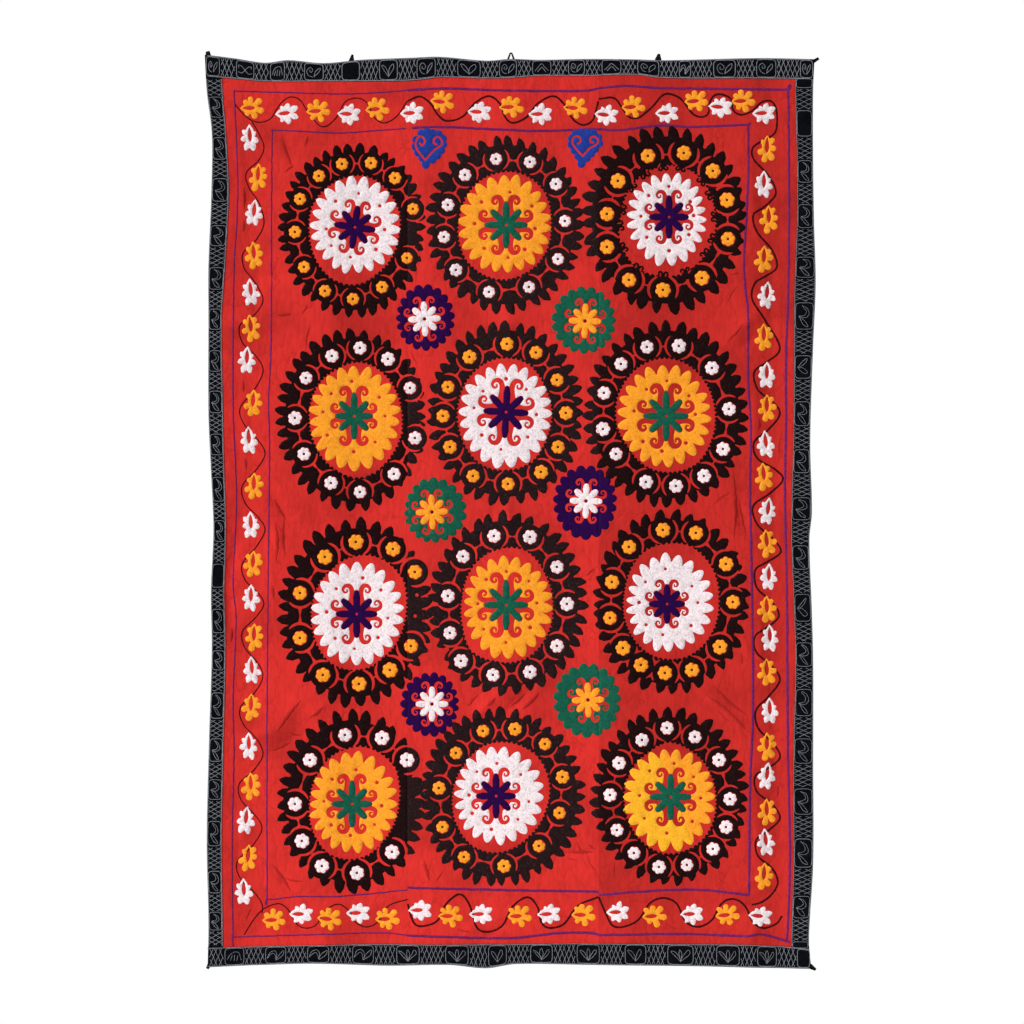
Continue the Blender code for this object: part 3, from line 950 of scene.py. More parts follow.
CORE_THREADS = {
    "white": ("white_thread", "purple_thread", "orange_thread", 1.1),
    "orange": ("orange_thread", "green_thread", "white_thread", 1.3),
    "yellow": ("yellow_thread", "green_thread", "white_thread", 1.2),
}

# Sizes of a great rosette's parts
LEAF_PITCH = 29.0
LEAF_LENGTH = 27.0
LEAF_RADII = (10.6, 11.3, 10.0, 6.0, 0.8)
LEAF_SHARES = (0.0, 0.33, 0.58, 0.80, 1.0)
RING_BACK = 22.0      # from the leaves' tips to the solid ring
RING_INSIDE = 32.5    # from the small flowers' circle to the ring's inner edge
BUMP_PITCH = 11.0
BUMP_RISE = 6.0
HOLE = 14.2           # radius of the bare cloth under a small flower
PETAL_OFF = 9.7
PETAL_RADIUS = 4.85
FLORET_PETALS = 7
FLORET_MIDDLE = 6.5
KNOT = 2.6            # radius of a small flower's dark middle
KNOT_CLEAR = 0.6
DISC = 26.6           # radius of the black disc round a small flower
CRESCENT_REACH = 54.0
CRESCENT_HALF = 2.3
CRESCENT_POWER = 2.4  # how a crescent's width grows with the rosette's size
NEIGHBOUR = 4.0       # discs nearer than so many radii share one waist
WAIST_PAST = 8.0      # how far a waist runs past a disc that has no neighbour
WAIST_BACK = 4.0      # and how far it starts inside the disc
WAIST = (7.0, 3.4, 1.2)  # half widths of the cloth left bare between two discs
CORE_PETALS = 22
PETAL_DEPTH = 23.5
DOT = 4.4
DOT_SHARE = 0.66
WEDGE = 38.0          # radius of the bare cloth between the star's arms
THREAD_GAP = 0.9      # bare cloth between two threads that meet
RED_DOTS = ((416.8, 595.0), (415.0, 616.0))
HOOKED = 1.24         # size of the rosettes whose ring ends in small hooks on its inside
HOOKS = 15
# One hook of a ring's inner edge: places aside and inwards, half width
HOOK = (
    (0.0, -5.0, 8.0), (0.8, 3.0, 4.2), (1.6, 9.0, 2.6), (5.0, 14.0, 2.2), (9.8, 13.6, 2.0),
    (11.4, 9.6, 1.9), (8.8, 7.4, 1.7),
)
STAR_SHARES = (0.06, 0.35, 0.70, 0.90)
STAR_RADII = (5.0, 7.8, 8.6, 6.2)
DIAGONAL = 0.92       # a diagonal arm of the star to an upright one
STAR_EYE = 3.4
STAR_BOX = (62, 66)   # half sizes of the box that holds a star
SHADE_CHANGE = (12.0, 0.934, 0.356)  # where a core worked in two shades changes: aside, and its normal

# One curl, a row each: place left of and out along the star's arm, half width, all as shares of
# the arm's length
CURL = (
    (-0.26, 0.50, 0.085), (-0.20, 0.78, 0.090), (-0.20, 1.02, 0.095), (-0.30, 1.19, 0.090),
    (-0.48, 1.19, 0.070), (-0.58, 1.04, 0.052), (-0.50, 0.91, 0.038), (-0.39, 0.95, 0.032),
    (-0.40, 1.04, 0.026),
)
LEVEL_CURL = 1.14     # how much further the curls stand off the level arms


def off(x, z, out, way):
    """The place at a distance and in a direction off another one."""
    return x + out * cos(way), z + out * sin(way)


def turned(x, z, angle):
    """A vector turned by an angle."""
    return x * cos(angle) - z * sin(angle), x * sin(angle) + z * cos(angle)


def oval(middle, sides):
    """Radius for each angle of an uneven oval given by its photograph's left, right, top and bottom."""
    left = (middle[0] - sides[0]) * PIXEL
    right = (sides[1] - middle[0]) * PIXEL
    up = (middle[1] - sides[2]) * PIXEL
    down = (sides[3] - middle[1]) * PIXEL

    def radius(angle):
        across = np.where(np.cos(angle) > 0, right, left)
        along = np.where(np.sin(angle) > 0, up, down)
        return 1.0 / np.sqrt((np.cos(angle) / across) ** 2 + (np.sin(angle) / along) ** 2)
    return radius


def box_of(sides):
    """The box in millimetres of a photograph's left, right, top and bottom."""
    low_x, high_z = at(sides[0], sides[2])
    high_x, low_z = at(sides[1], sides[3])
    return low_x, high_x, low_z, high_z


def box_round(x, z, across, up):
    """The box that reaches so far across and up from a middle."""
    return x - across, x + across, z - up, z + up


def arch(angle, count, jitter, power):
    """1 at the tip of each of a number of petals round a circle and 0 between them."""
    place = (np.asarray(angle) % (2 * pi)) / (2 * pi) * count + jitter[0]
    index = np.floor(place).astype(int) % count
    share = np.abs(2 * (place - np.floor(place)) - 1 + 0.25 * jitter[1 + index])
    return 1 - np.clip(share, 0, 1) ** power, index


def star_arms(middle, reach, turn):
    """Direction and length of the eight arms of a star."""
    arms = []
    for step in range(8):
        angle = step * pi / 4
        length = PIXEL * hypot(cos(angle) * reach[0], sin(angle) * reach[1])
        if step % 2:
            length *= DIAGONAL
        arms.append((angle - radians(turn), length))
    return arms


def add_star(shape, x, z, arms, radii, shares, spare=0.0, cut=False):
    """Join or cut a star of tapered arms."""
    for angle, length in arms:
        path = [(x + cos(angle) * length * share, z + sin(angle) * length * share) for share in shares]
        shape.stroke(path, np.array(radii) + spare, cut)


def add_curls(shape, x, z, arms, wide, cut=True):
    """Cut a pair of curls beside each upright and level arm of a star."""
    for index, (angle, length) in enumerate(arms[::2]):
        for hand in (-1, 1):
            path = []
            for aside, out, _ in CURL:
                aside *= hand * length * (1 if index % 2 else LEVEL_CURL)
                dx, dz = turned(out * length, aside, angle)
                path.append((x + dx, z + dz))
            path = curved(path, 3)
            widths = np.array([row[2] for row in CURL]) * length * wide
            widths = np.interp(np.linspace(0, len(CURL) - 1, len(path)), range(len(CURL)), widths)
            shape.stroke(path, widths, cut)


def great_rosette(row, florets, seed):
    """Sew one great rosette."""
    core, middle, reach, core_sides, sides, turn, size = row
    core_slot, star_slot, floret_slot, curl_wide = CORE_THREADS[core]
    random = np.random.default_rng(seed)
    x, z = at(*middle)
    outer = oval(middle, sides)
    ring = Shape(box_of(sides), COARSE)

    places = [at(*place) for place in florets]
    angles = np.array([atan2(fz - z, fx - x) for fx, fz in places])
    shares = np.array([hypot(fx - x, fz - z) for fx, fz in places]) / outer(angles)
    order = np.argsort(angles)

    def circle(angle):
        return outer(angle) * np.interp(angle, angles[order], shares[order], period=2 * pi)

    around = np.linspace(0, 2 * pi, 200)
    length = 2 * pi * outer(around).mean()
    disc = DISC * (0.2 + 0.8 * size)
    crescent = CRESCENT_HALF * size ** CRESCENT_POWER
    leaf_length = LEAF_LENGTH * size
    ring.round(x, z, lambda angle: outer(angle) - RING_BACK * size)
    bumps = round(2 * pi * (circle(around).mean() - RING_INSIDE) / BUMP_PITCH)
    jitter = random.uniform(-0.5, 0.5, bumps + 1)

    def inside(angle):
        share, _ = arch(angle, bumps, jitter, 2.6)
        return circle(angle) - RING_INSIDE + BUMP_RISE * (0.5 - share)
    ring.round(x, z, inside, cut=True)

    leaves = round(length / LEAF_PITCH / size)
    lean = random.uniform(-0.035, 0.035)
    for step in range(leaves):
        angle = 2 * pi * (step + random.uniform(-0.12, 0.12)) / leaves
        tip = float(outer(angle)) * (1 + random.uniform(-0.02, 0.012))
        bend = lean + random.uniform(-0.022, 0.022)
        wide = random.uniform(0.84, 1.06)
        path = []
        for share in LEAF_SHARES:
            out = tip - leaf_length * (1.15 - 1.15 * share)
            path.append(off(x, z, out, angle + bend * share ** 2))
        ring.stroke(path, np.array(LEAF_RADII) * wide * size)

    petals = Shape(box_of(sides), FINE)
    knots = Shape(box_of(sides), FINE)
    count = len(places)
    for index in range(count):
        fx, fz = places[order[index]]
        for step in (-1, 1):
            ox, oz = places[order[(index + step) % count]]
            apart = hypot(ox - fx, oz - fz)
            towards = atan2(oz - fz, ox - fx)
            near = apart < NEIGHBOUR * disc
            if not near:
                towards = atan2(fz - z, fx - x) + step * pi / 2
            far = 0.5 * apart if near else disc + WAIST_PAST
            outs = (disc - WAIST_BACK, between(disc, far, 0.5), far)
            waist = [off(fx, fz, out, towards) for out in outs]
            ring.stroke(waist, WAIST, cut=True)
            path = []
            radii = []
            for share in np.linspace(-1, 1, 13):
                way = towards + radians(CRESCENT_REACH) * share
                path.append(off(fx, fz, disc + crescent * 0.8, way))
                radii.append(0.4 + crescent * (1 - share * share) ** 0.7)
            ring.stroke(path, radii, cut=True)
    for fx, fz in places:
        ring.disc(fx, fz, disc)
    for fx, fz in places:
        ring.disc(fx, fz, HOLE * size, cut=True)
        start = random.uniform(0, 2 * pi)
        grown = size * random.uniform(0.94, 1.06)
        petals.disc(fx, fz, FLORET_MIDDLE * size)
        for petal in range(FLORET_PETALS):
            way = start + (petal + random.uniform(-0.1, 0.1)) * 2 * pi / FLORET_PETALS
            place = off(fx, fz, PETAL_OFF * grown, way)
            petals.disc(*place, PETAL_RADIUS * grown)
            ring.disc(*place, PETAL_RADIUS * grown + THREAD_GAP, cut=True)
        petals.disc(fx, fz, KNOT + KNOT_CLEAR, cut=True)
        knots.disc(fx, fz, KNOT)
    if size == HOOKED:
        for step in range(HOOKS):
            angle = 2 * pi * (step + random.uniform(-0.2, 0.2)) / HOOKS
            out = float(circle(angle)) - RING_INSIDE + 3.0
            for hand in (-1, 1):
                path = []
                for aside, inward, _ in HOOK:
                    dx, dz = turned(out - inward, aside * hand, angle)
                    path.append((x + dx, z + dz))
                ring.stroke(path, [half for *_, half in HOOK])
    for dot in RED_DOTS:
        ring.disc(*at(*dot), DOT, cut=True)
    sew("black_thread", ring)
    sew(floret_slot, petals)
    sew("maroon_thread", knots)

    tip = oval(middle, core_sides)
    heart = Shape(box_of(core_sides), FINE)
    jitter = random.uniform(-0.5, 0.5, CORE_PETALS + 1)
    tall = random.uniform(-3.0, 2.0, CORE_PETALS)

    def petal_edge(angle):
        share, index = arch(angle, CORE_PETALS, jitter, 1.9)
        return tip(angle) + tall[index] * share - PETAL_DEPTH * (1 - share)
    heart.round(x, z, petal_edge)
    arms = star_arms(middle, reach, turn)
    for step in range(8):
        way = step * pi / 4 + random.uniform(-0.12, 0.12) - 0.05
        out = DOT_SHARE * float(tip(way)) * random.uniform(0.96, 1.05)
        heart.disc(*off(x, z, out, way), DOT * random.uniform(0.8, 1.1), cut=True)
    heart.disc(x, z, WEDGE, cut=True)
    add_curls(heart, x, z, arms, curl_wide)
    add_star(heart, x, z, arms, STAR_RADII, STAR_SHARES, THREAD_GAP, cut=True)
    if core == "yellow":
        across, up = np.meshgrid(heart.x - x, heart.z - z)
        away = (across - SHADE_CHANGE[0]) * SHADE_CHANGE[1] + up * SHADE_CHANGE[2]
        other = Shape(box_of(core_sides), FINE)
        other.field = np.maximum(heart.field, -away)
        heart.field = np.maximum(heart.field, away)
        sew("orange_thread", other)
    sew(core_slot, heart)
    star = Shape(box_round(x, z, *STAR_BOX), FINE)
    add_star(star, x, z, arms, STAR_RADII, STAR_SHARES)
    star.disc(x, z, STAR_EYE, cut=True)
    sew(star_slot, star)


for index, row in enumerate(ROSETTES):
    great_rosette(row, FLORETS[index], 100 + index)

# Small rosettes, a row each: ring, star, middle, and left, right, top and bottom
SMALL_ROSETTES = (
    ("purple_thread", "white_thread", (424.5, 319), (396, 455, 284, 351)),
    ("green_thread", "orange_thread", (585, 321), (551, 616, 286, 354)),
    ("green_thread", "orange_thread", (432, 512), (404, 467, 477, 543)),
    ("purple_thread", "white_thread", (586, 501), (553, 617, 465, 540)),
    ("purple_thread", "white_thread", (432, 704), (400, 459, 672, 737)),
    ("green_thread", "orange_thread", (588, 700), (553, 621, 663, 738)),
)
SCALLOPS = 19
SCALLOP_DEPTH = 11.0
SMALL_REACH = (16.2, 17.6)
SMALL_RADII = (3.2, 6.2, 8.0, 6.4)
SMALL_SHARES = (0.08, 0.40, 0.70, 0.84)
SMALL_WEDGE = 31.0
SMALL_EYE = 4.6
EYE_CLEAR = 1.6
SMALL_CURL = 1.0
SMALL_BOX = (55, 58)


def small_rosette(row, seed):
    """Sew one small rosette."""
    ring_slot, star_slot, middle, sides = row
    random = np.random.default_rng(seed)
    x, z = at(*middle)
    edge = oval(middle, sides)
    jitter = random.uniform(-0.4, 0.4, SCALLOPS + 1)
    ring = Shape(box_of(sides), FINE)
    ring.round(x, z, lambda angle: edge(angle) - SCALLOP_DEPTH * (1 - arch(angle, SCALLOPS, jitter, 2.2)[0]))
    arms = star_arms(middle, SMALL_REACH, random.uniform(-3, 3))
    ring.disc(x, z, SMALL_WEDGE, cut=True)
    add_curls(ring, x, z, arms, SMALL_CURL)
    add_star(ring, x, z, arms, SMALL_RADII, SMALL_SHARES, THREAD_GAP, cut=True)
    sew(ring_slot, ring)
    star = Shape(box_round(x, z, *SMALL_BOX), FINE)
    add_star(star, x, z, arms, SMALL_RADII, SMALL_SHARES)
    star.disc(x, z, SMALL_EYE, cut=True)
    sew(star_slot, star)
    eye = Shape(box_round(x, z, 8, 8), FINE)
    eye.disc(x, z, SMALL_EYE - EYE_CLEAR)
    sew("maroon_thread", eye)


for index, row in enumerate(SMALL_ROSETTES):
    small_rosette(row, 200 + index)

FLOWER_BOX = (42, 42)
# Half length and half width of a flower
LEVEL_FLOWER = (26.0, 23.0)
UPRIGHT_FLOWER = (30.5, 18.5)
# Border flowers, a row for each side: sizes, turn, colours in turn (O orange, W white) and the
# photograph's middles; those of the top and bottom point right and those of the sides point down
BORDER_FLOWERS = (
    (LEVEL_FLOWER, 0.0, "OW", (
        (252, 108), (287, 113), (318, 111), (349, 114), (377, 109), (412, 113), (442, 102), (479, 112),
        (511, 107), (540, 114), (575, 108), (606, 115), (633, 107), (667, 113), (696, 101), (720, 107),
        (743, 101), (764, 113),
    )),
    (LEVEL_FLOWER, 0.0, "OW", (
        (274, 920), (301, 914), (329, 919), (358, 913), (387, 919), (420, 910), (450, 916), (481, 914),
        (519, 916), (549, 914), (583, 915), (618, 912), (654, 916), (692, 914), (727, 915), (760, 916),
    )),
    (UPRIGHT_FLOWER, -pi / 2, "WO", (
        (250, 138), (258, 177), (254, 213), (254, 255), (251, 292), (251, 328), (247, 360), (253, 403),
        (249, 440), (254, 486), (251, 525), (253, 564), (251, 598), (254, 637), (252, 670), (251, 707),
        (249, 746), (251, 786), (246, 820), (248, 858), (244, 892),
    )),
    (UPRIGHT_FLOWER, -pi / 2, "OWOOWOWOWOWOWOWOWOWOWO", (
        (767, 149), (764, 184), (769, 219), (764, 259), (767, 295), (764, 337), (767, 375), (767, 408),
        (766, 444), (764, 476), (768, 511), (767, 543), (769, 577), (767, 609), (770, 638), (767, 672),
        (770, 711), (767, 746), (767, 776), (767, 812), (766, 842), (764, 876),
    )),
)
# Lobes of a border flower, a row each: place along and across as shares of its half sizes, radius
LOBES = (
    (-0.64, 0.60, 6.4), (-0.08, 0.86, 7.4), (0.62, 0.64, 8.0), (0.84, -0.26, 8.2), (0.24, -0.82, 7.8),
    (-0.50, -0.60, 6.2),
)
POINTED_LOBES = (
    (-0.36, 0.66, 5.8), (0.22, 0.84, 7.6), (0.84, 0.36, 8.0), (0.78, -0.52, 8.0), (0.12, -0.88, 7.8),
    (-0.48, -0.68, 6.8),
)
# A flower's slit and the rim round its closed end: places along and across, half width
SLIT = ((-0.84, 0.0, 0.6), (-0.56, 0.0, 3.6), (-0.22, 0.0, 5.2), (0.06, 0.0, 4.2), (0.30, 0.0, 0.8))
RIM = ((-1.0, 0.0, 2.0), (-0.66, 0.26, 3.8), (-0.20, 0.40, 5.2), (0.24, 0.22, 6.0), (0.40, 0.0, 6.0))


def border_flower(shape, x, z, sizes, angle, pointed, random):
    """Draw one border flower."""
    long, wide = sizes
    angle += random.uniform(-0.12, 0.12)

    def place(along, across):
        dx, dz = turned(long * along, wide * across, angle)
        return x + dx, z + dz

    for along, across, radius in POINTED_LOBES if pointed else LOBES:
        along += random.uniform(-0.07, 0.07)
        across += random.uniform(-0.07, 0.07)
        radius *= random.uniform(0.88, 1.04)
        shares = (0.40, 0.82, 1.06) if pointed else (0.45, 0.80, 1.0)
        radii = (0.66, 1.0, 0.60) if pointed else (0.62, 0.90, 1.0)
        path = [place(along * share - 0.05 * (1 - share), across * share) for share in shares]
        shape.stroke(path, radius * np.array(radii))
    for hand in (-1, 1):
        shape.stroke([place(along, hand * across) for along, across, _ in RIM], [row[2] for row in RIM])
    shape.stroke([place(along, across) for along, across, _ in SLIT], [row[2] for row in SLIT], cut=True)


random = np.random.default_rng(7)
for sizes, angle, colours, places in BORDER_FLOWERS:
    for index, place in enumerate(places):
        white = colours[index % len(colours)] == "W"
        x, z = at(*place)
        flower = Shape(box_round(x, z, *FLOWER_BOX), FINE)
        border_flower(flower, x, z, sizes, angle, white, random)
        sew("white_thread" if white else "orange_thread", flower)


def ribbon(cloth, path, half, height, front, back=None):
    """Add a raised line of stitches along a path in millimetres, over the rise of what carries it."""
    path = np.asarray(path, float)
    half = np.broadcast_to(np.asarray(half, float), len(path))
    run = np.gradient(path, axis=0)
    run /= np.maximum(np.hypot(run[:, 0], run[:, 1]), 1e-9)[:, None]
    normal = np.stack([-run[:, 1], run[:, 0]], 1)
    rows = []
    for side, over in ((-1.0, -0.3), (-0.55, 0.8), (0.0, 1.0), (0.55, 0.8), (1.0, -0.3)):
        place = path + normal * (half * side)[:, None]
        lift = front(place[:, 0], place[:, 1]) + (height * over if over > 0 else over)
        rows.append(np.stack([place[:, 0], -lift, place[:, 1]], 1))
    if back:
        for side in (0.8, -0.8):
            place = path + normal * (half * side)[:, None]
            lift = back(place[:, 0], place[:, 1])
            rows.append(np.stack([place[:, 0], -lift, place[:, 1]], 1))
    around = len(rows)
    points = np.stack(rows, 1).reshape(-1, 3)
    start = np.arange(len(path) - 1)[:, None] * around
    here = np.arange(around)[None, :]
    after = (here + 1) % around
    quads = np.stack([start + here, start + after, start + after + around, start + here + around], -1)
    cloth.add(points, quads.reshape(-1, 4))
    last = (len(path) - 1) * around
    cloth.faces.append([cloth.count - len(points) + corner for corner in range(around - 1, -1, -1)])
    cloth.faces.append([cloth.count - len(points) + last + corner for corner in range(around)])


def cloth_front(x, z):
    """Rise of the cloth's face."""
    return rise_at(x, z) + CLOTH_THICK / 2


def cloth_back(x, z):
    """Rise of the reverse of a line of stitches."""
    return rise_at(x, z) - CLOTH_THICK / 2 - BACK_RELIEF


def spaced(path, spacing):
    """A smooth path with points about a spacing apart."""
    fine = curved(path, 12)
    length = np.concatenate([[0.0], np.cumsum(np.hypot(*np.diff(fine, axis=0).T))])
    count = max(2, round(length[-1] / spacing) + 1)
    places = np.linspace(0, length[-1], count)
    return np.stack([np.interp(places, length, fine[:, 0]), np.interp(places, length, fine[:, 1])], 1)


def runs(within):
    """Start and end of each run of true values."""
    bounds = np.flatnonzero(np.diff(np.concatenate([[0], within.astype(int), [0]])))
    return zip(bounds[::2], bounds[1::2])


def sew_line(slot, path, half, wander, random):
    """Sew a line along a photograph's path, split where it crosses a seam."""
    path = spaced([at(*point) for point in path], 4.5)
    path = path + wander * random.uniform(-1, 1, path.shape)
    path[1:-1] = (path[:-2] + 2 * path[1:-1] + path[2:]) / 4
    widths = half * (1 + 0.14 * random.uniform(-1, 1, len(path)))
    for side, (low, high) in EDGES.items():
        within = (path[:, 0] > low) & (path[:, 0] < high)
        for start, end in runs(within):
            kept = slice(max(start - 1, 0), min(end + 1, len(path)))
            stretch = np.stack([np.clip(path[kept, 0], low, high), path[kept, 1]], 1)
            cloth = gathered.setdefault((slot, side), Cloth())
            ribbon(cloth, stretch, widths[kept], LINE_HEIGHT, cloth_front, cloth_back)


LINE_HEIGHT = 0.85
THIN_LINE = 1.9
WIDE_LINE = 3.5
THIN_VINE = 1.6
WIDE_VINE = 2.8

# Purple lines, a row each: half width and the photograph's places that they pass
PURPLE_LINES = (
    (THIN_LINE, ((234, 91), (300, 93), (340, 94), (380, 92.5), (407.4, 90.3))),
    (WIDE_LINE, ((407.6, 90.3), (420, 89.5), (450, 88.5), (500, 90.5), (580, 91), (598.3, 88.3))),
    (WIDE_LINE, ((598.7, 88.2), (625, 86), (660, 88), (720, 89), (785, 90), (788, 93), (789, 200),
                 (788, 300), (786, 350), (786, 430), (785, 500), (787, 600), (788, 750), (790, 850),
                 (789, 900), (787, 940))),
    (THIN_LINE, ((234, 91), (237.5, 170), (237, 220), (234, 270), (233, 400), (236.5, 500), (233, 580),
                 (236, 620), (233, 700), (234, 750), (232, 850), (233, 947))),
    (THIN_LINE, ((233, 937), (300, 935), (380, 933), (407.4, 935.3))),
    (WIDE_LINE, ((407.6, 935.4), (450, 937), (510, 938), (560, 933), (590, 933), (598.3, 934.5))),
    (WIDE_LINE, ((598.7, 935), (680, 934), (745, 936), (760, 934), (790, 942))),
    (THIN_LINE, ((272, 130), (310, 132), (340, 133), (370, 131), (406, 128.5))),
    (WIDE_LINE, ((412, 128), (440, 127), (510, 130), (540, 131), (598.3, 129))),
    (WIDE_LINE, ((598.7, 129.3), (620, 130), (660, 125.5), (690, 127), (746, 125), (748, 128),
                 (748, 185), (744, 265), (748, 315), (748, 380), (751, 430), (750, 490),
                 (752, 590), (753, 710), (750, 790), (749, 895))),
    (THIN_LINE, ((272, 130), (271.5, 200), (271, 345), (268.5, 400), (269.5, 450), (268, 590),
                 (267, 720), (267, 890), (268, 899), (300, 896.5), (345, 896), (407.4, 890))),
    (WIDE_LINE, ((407.6, 887.6), (500, 890), (590, 891.5), (598.3, 892))),
    (WIDE_LINE, ((598.7, 895), (650, 891), (700, 890), (749, 895))),
)

# The vine, a row each: half width and the photograph's places that it passes
VINES = (
    (THIN_VINE, ((235, 104), (244, 115), (256, 122), (270, 119), (280, 104), (290, 97), (300, 100),
                 (308, 112), (322, 127), (336, 118), (345, 102), (357, 98), (367, 103), (373, 116),
                 (383, 123), (396, 117), (407.3, 101))),
    (WIDE_VINE, ((407.7, 101), (420, 96.5), (430, 103), (438, 115), (447, 121), (462, 117), (475, 103),
                 (489, 96), (500, 104), (505, 117), (513, 123), (527, 117), (537, 104), (553, 96),
                 (564, 104), (572, 118), (582, 125), (591, 122), (594.5, 116), (598.3, 101))),
    (WIDE_VINE, ((598.7, 99), (614, 98), (622, 108), (627, 115), (632, 118.5), (640, 117), (652, 107),
                 (663, 95), (672, 94.5), (682, 100), (692, 113), (700, 117), (708, 114), (710, 102),
                 (714, 95.5), (722, 94.5), (731, 99), (733, 110), (741, 115), (752, 111), (762, 102),
                 (771, 101), (776, 108), (777, 123), (774, 134), (760, 142), (752, 149), (754, 160),
                 (768, 175), (776, 193), (764, 207), (753, 215), (757, 232), (772, 250), (777, 267),
                 (766, 276), (755, 283), (752, 299), (765, 320), (780, 348), (767, 362), (754, 372),
                 (758, 390), (773, 402), (780, 414), (768, 430), (754, 442), (757, 458), (776, 470),
                 (783, 480), (769, 494), (753, 506), (757, 524), (774, 540), (781, 552), (767, 562),
                 (755, 570), (757, 588), (772, 602), (779, 616), (768, 627), (755, 636), (756, 652),
                 (772, 666), (780, 680), (769, 696), (756, 710), (758, 728), (774, 744), (780, 758),
                 (768, 768), (755, 776), (757, 792), (772, 804), (780, 818), (769, 830), (756, 840),
                 (758, 856), (772, 868), (778, 882), (772, 894), (762, 902), (752, 905))),
    (THIN_VINE, ((252, 122), (259, 134), (264, 148), (258, 161), (246, 173), (249, 188), (259, 203),
                 (264, 223), (256, 240), (243, 253), (244, 268), (254, 281), (263, 299), (255, 314),
                 (240, 325), (242, 342), (256, 356), (263, 371), (254, 390), (240, 408), (244, 424),
                 (258, 440), (265, 454), (256, 470), (242, 486), (245, 503), (258, 517), (265, 530),
                 (256, 547), (242, 564), (245, 580), (257, 592), (264, 604), (255, 618), (242, 632),
                 (245, 648), (257, 662), (263, 676), (255, 692), (240, 708), (243, 724), (256, 738),
                 (263, 754), (254, 770), (239, 784), (241, 800), (254, 814), (262, 828), (253, 845),
                 (237, 862), (240, 878), (254, 892), (262, 904), (262, 913))),
    (THIN_VINE, ((244, 935), (252, 922), (262, 910), (272, 905), (281, 904), (290, 912), (296, 923),
                 (304, 928), (316, 925), (325, 911), (338, 904), (349, 911), (355, 922), (366, 927),
                 (378, 922), (388, 906), (407.3, 899.4))),
    (WIDE_VINE, ((407.8, 904), (414, 923), (424, 926), (438, 920), (446, 904), (460, 894), (470, 906),
                 (476, 926), (486, 932), (502, 926), (513, 906), (528, 897), (538, 908), (541, 922),
                 (549, 928), (564, 924), (578, 906), (598.3, 897))),
    (WIDE_VINE, ((598.7, 897), (606, 914), (612, 925), (622, 927), (638, 920), (650, 903), (664, 898),
                 (677, 904), (685, 921), (698, 927), (712, 920), (722, 903), (734, 899), (745, 906),
                 (753, 922), (763, 928), (776, 924), (782, 916))),
)

for half, path in PURPLE_LINES:
    sew_line("violet_line", path, half, 0.8, random)
for half, path in VINES:
    sew_line("maroon_thread", path, half, 0.4, random)

# Blue heart palmettes: place, scalloped edge as places round the middle, and the lines left bare
PALMETTES = (
    ((429, 147), (
        (-9, -16), (-2.5, -17.5), (4, -16.5), (11, -15), (16, -10), (16.5, -3), (14, 4), (9.5, 10),
        (4, 15), (-4, 21), (-8, 12.5), (-13, 6.5), (-16, -0.5), (-15, -8.5)),
     (((-4, 13), (-12.5, 2), (-13.5, -5), (-10.5, -10.5), (-6, -9.5), (-4.5, -5), (-7.5, -1.5), (-9.5, -4)),
      ((-4, 13), (4, 4), (12, -2), (12.5, -6.5), (9, -10), (5, -8.5), (4.5, -4), (7.5, -2.5)))),
    ((585, 146), (
        (-11, -14), (-4, -16), (3, -15.5), (10, -14.5), (15.5, -10), (16.5, -3), (12, 3.5), (7, 9),
        (2, 14), (-4.4, 21), (-8, 12), (-12.5, 5), (-16, -1.5), (-15.5, -9)),
     (((-2.5, 10), (-9, 3), (-13, -3.5), (-11.5, -9), (-6.5, -9.5), (-4.5, -5), (-7.5, -2.5)),
      ((-2.5, 10), (4, 2.5), (11, -1.5), (13, -6), (9, -9.5), (5, -8), (5.5, -4), (8, -3.5)))),
)
PALMETTE_BUMP = 9.5
PALMETTE_LINE = 2.3
for middle, bumps, lines in PALMETTES:
    x, z = at(*middle)
    palmette = Shape((x - 46, x + 46, z - 62, z + 50), FINE)
    for dx, dy in bumps:
        bump = (x + dx * PIXEL * 0.86, z - dy * PIXEL * 0.86)
        palmette.stroke([(x, z + 4.0), bump], (14.0, PALMETTE_BUMP))
    for line in lines:
        path = curved([(x + dx * PIXEL, z - dy * PIXEL) for dx, dy in line], 3)
        palmette.stroke(path, PALMETTE_LINE, cut=True)
    sew("blue_thread", palmette)


# Squares of the cloth that carry stitching, and one square round them
SQUARE = 5.0
SEAM_CLEAR = 5.0      # how far a crease stays from a seam
SHORTEST_RUN = 4      # points of bare cloth that a crease needs more than
BARE_X = (-690, 672)  # where the cloth shows between the strips
BARE_Z = (-2132, -66)
taken = np.zeros((460, 320), bool)


def square_of(x, z):
    """Row and column of the square that a place lies in."""
    return ((z + 2250) / SQUARE).astype(int), ((x + 800) / SQUARE).astype(int)


for cloth in gathered.values():
    points = np.concatenate(cloth.points)
    taken[square_of(points[:, 0], points[:, 2])] = True
for axis in (0, 1):
    taken |= np.roll(taken, 1, axis) | np.roll(taken, -1, axis)


def pinch(path, half, height):
    """Pinch the bare cloth along a line into narrow creases that fade out at their ends."""
    path = spaced(path, 6.0)
    path[1:-1] += random.uniform(-0.8, 0.8, path[1:-1].shape)
    x, z = path.T
    bare = ~taken[square_of(x, z)] & (x > BARE_X[0]) & (x < BARE_X[1]) & (z > BARE_Z[0]) & (z < BARE_Z[1])
    for side, (low, high) in EDGES.items():
        within = bare & (x > low + SEAM_CLEAR) & (x < high - SEAM_CLEAR)
        for start, end in runs(within):
            if end - start > SHORTEST_RUN:
                fade = np.sin(np.linspace(0.12, pi - 0.12, end - start))
                cloth = gathered.setdefault(("red_cotton", side), Cloth())
                ribbon(cloth, path[start:end], half * fade, height * fade, cloth_front)


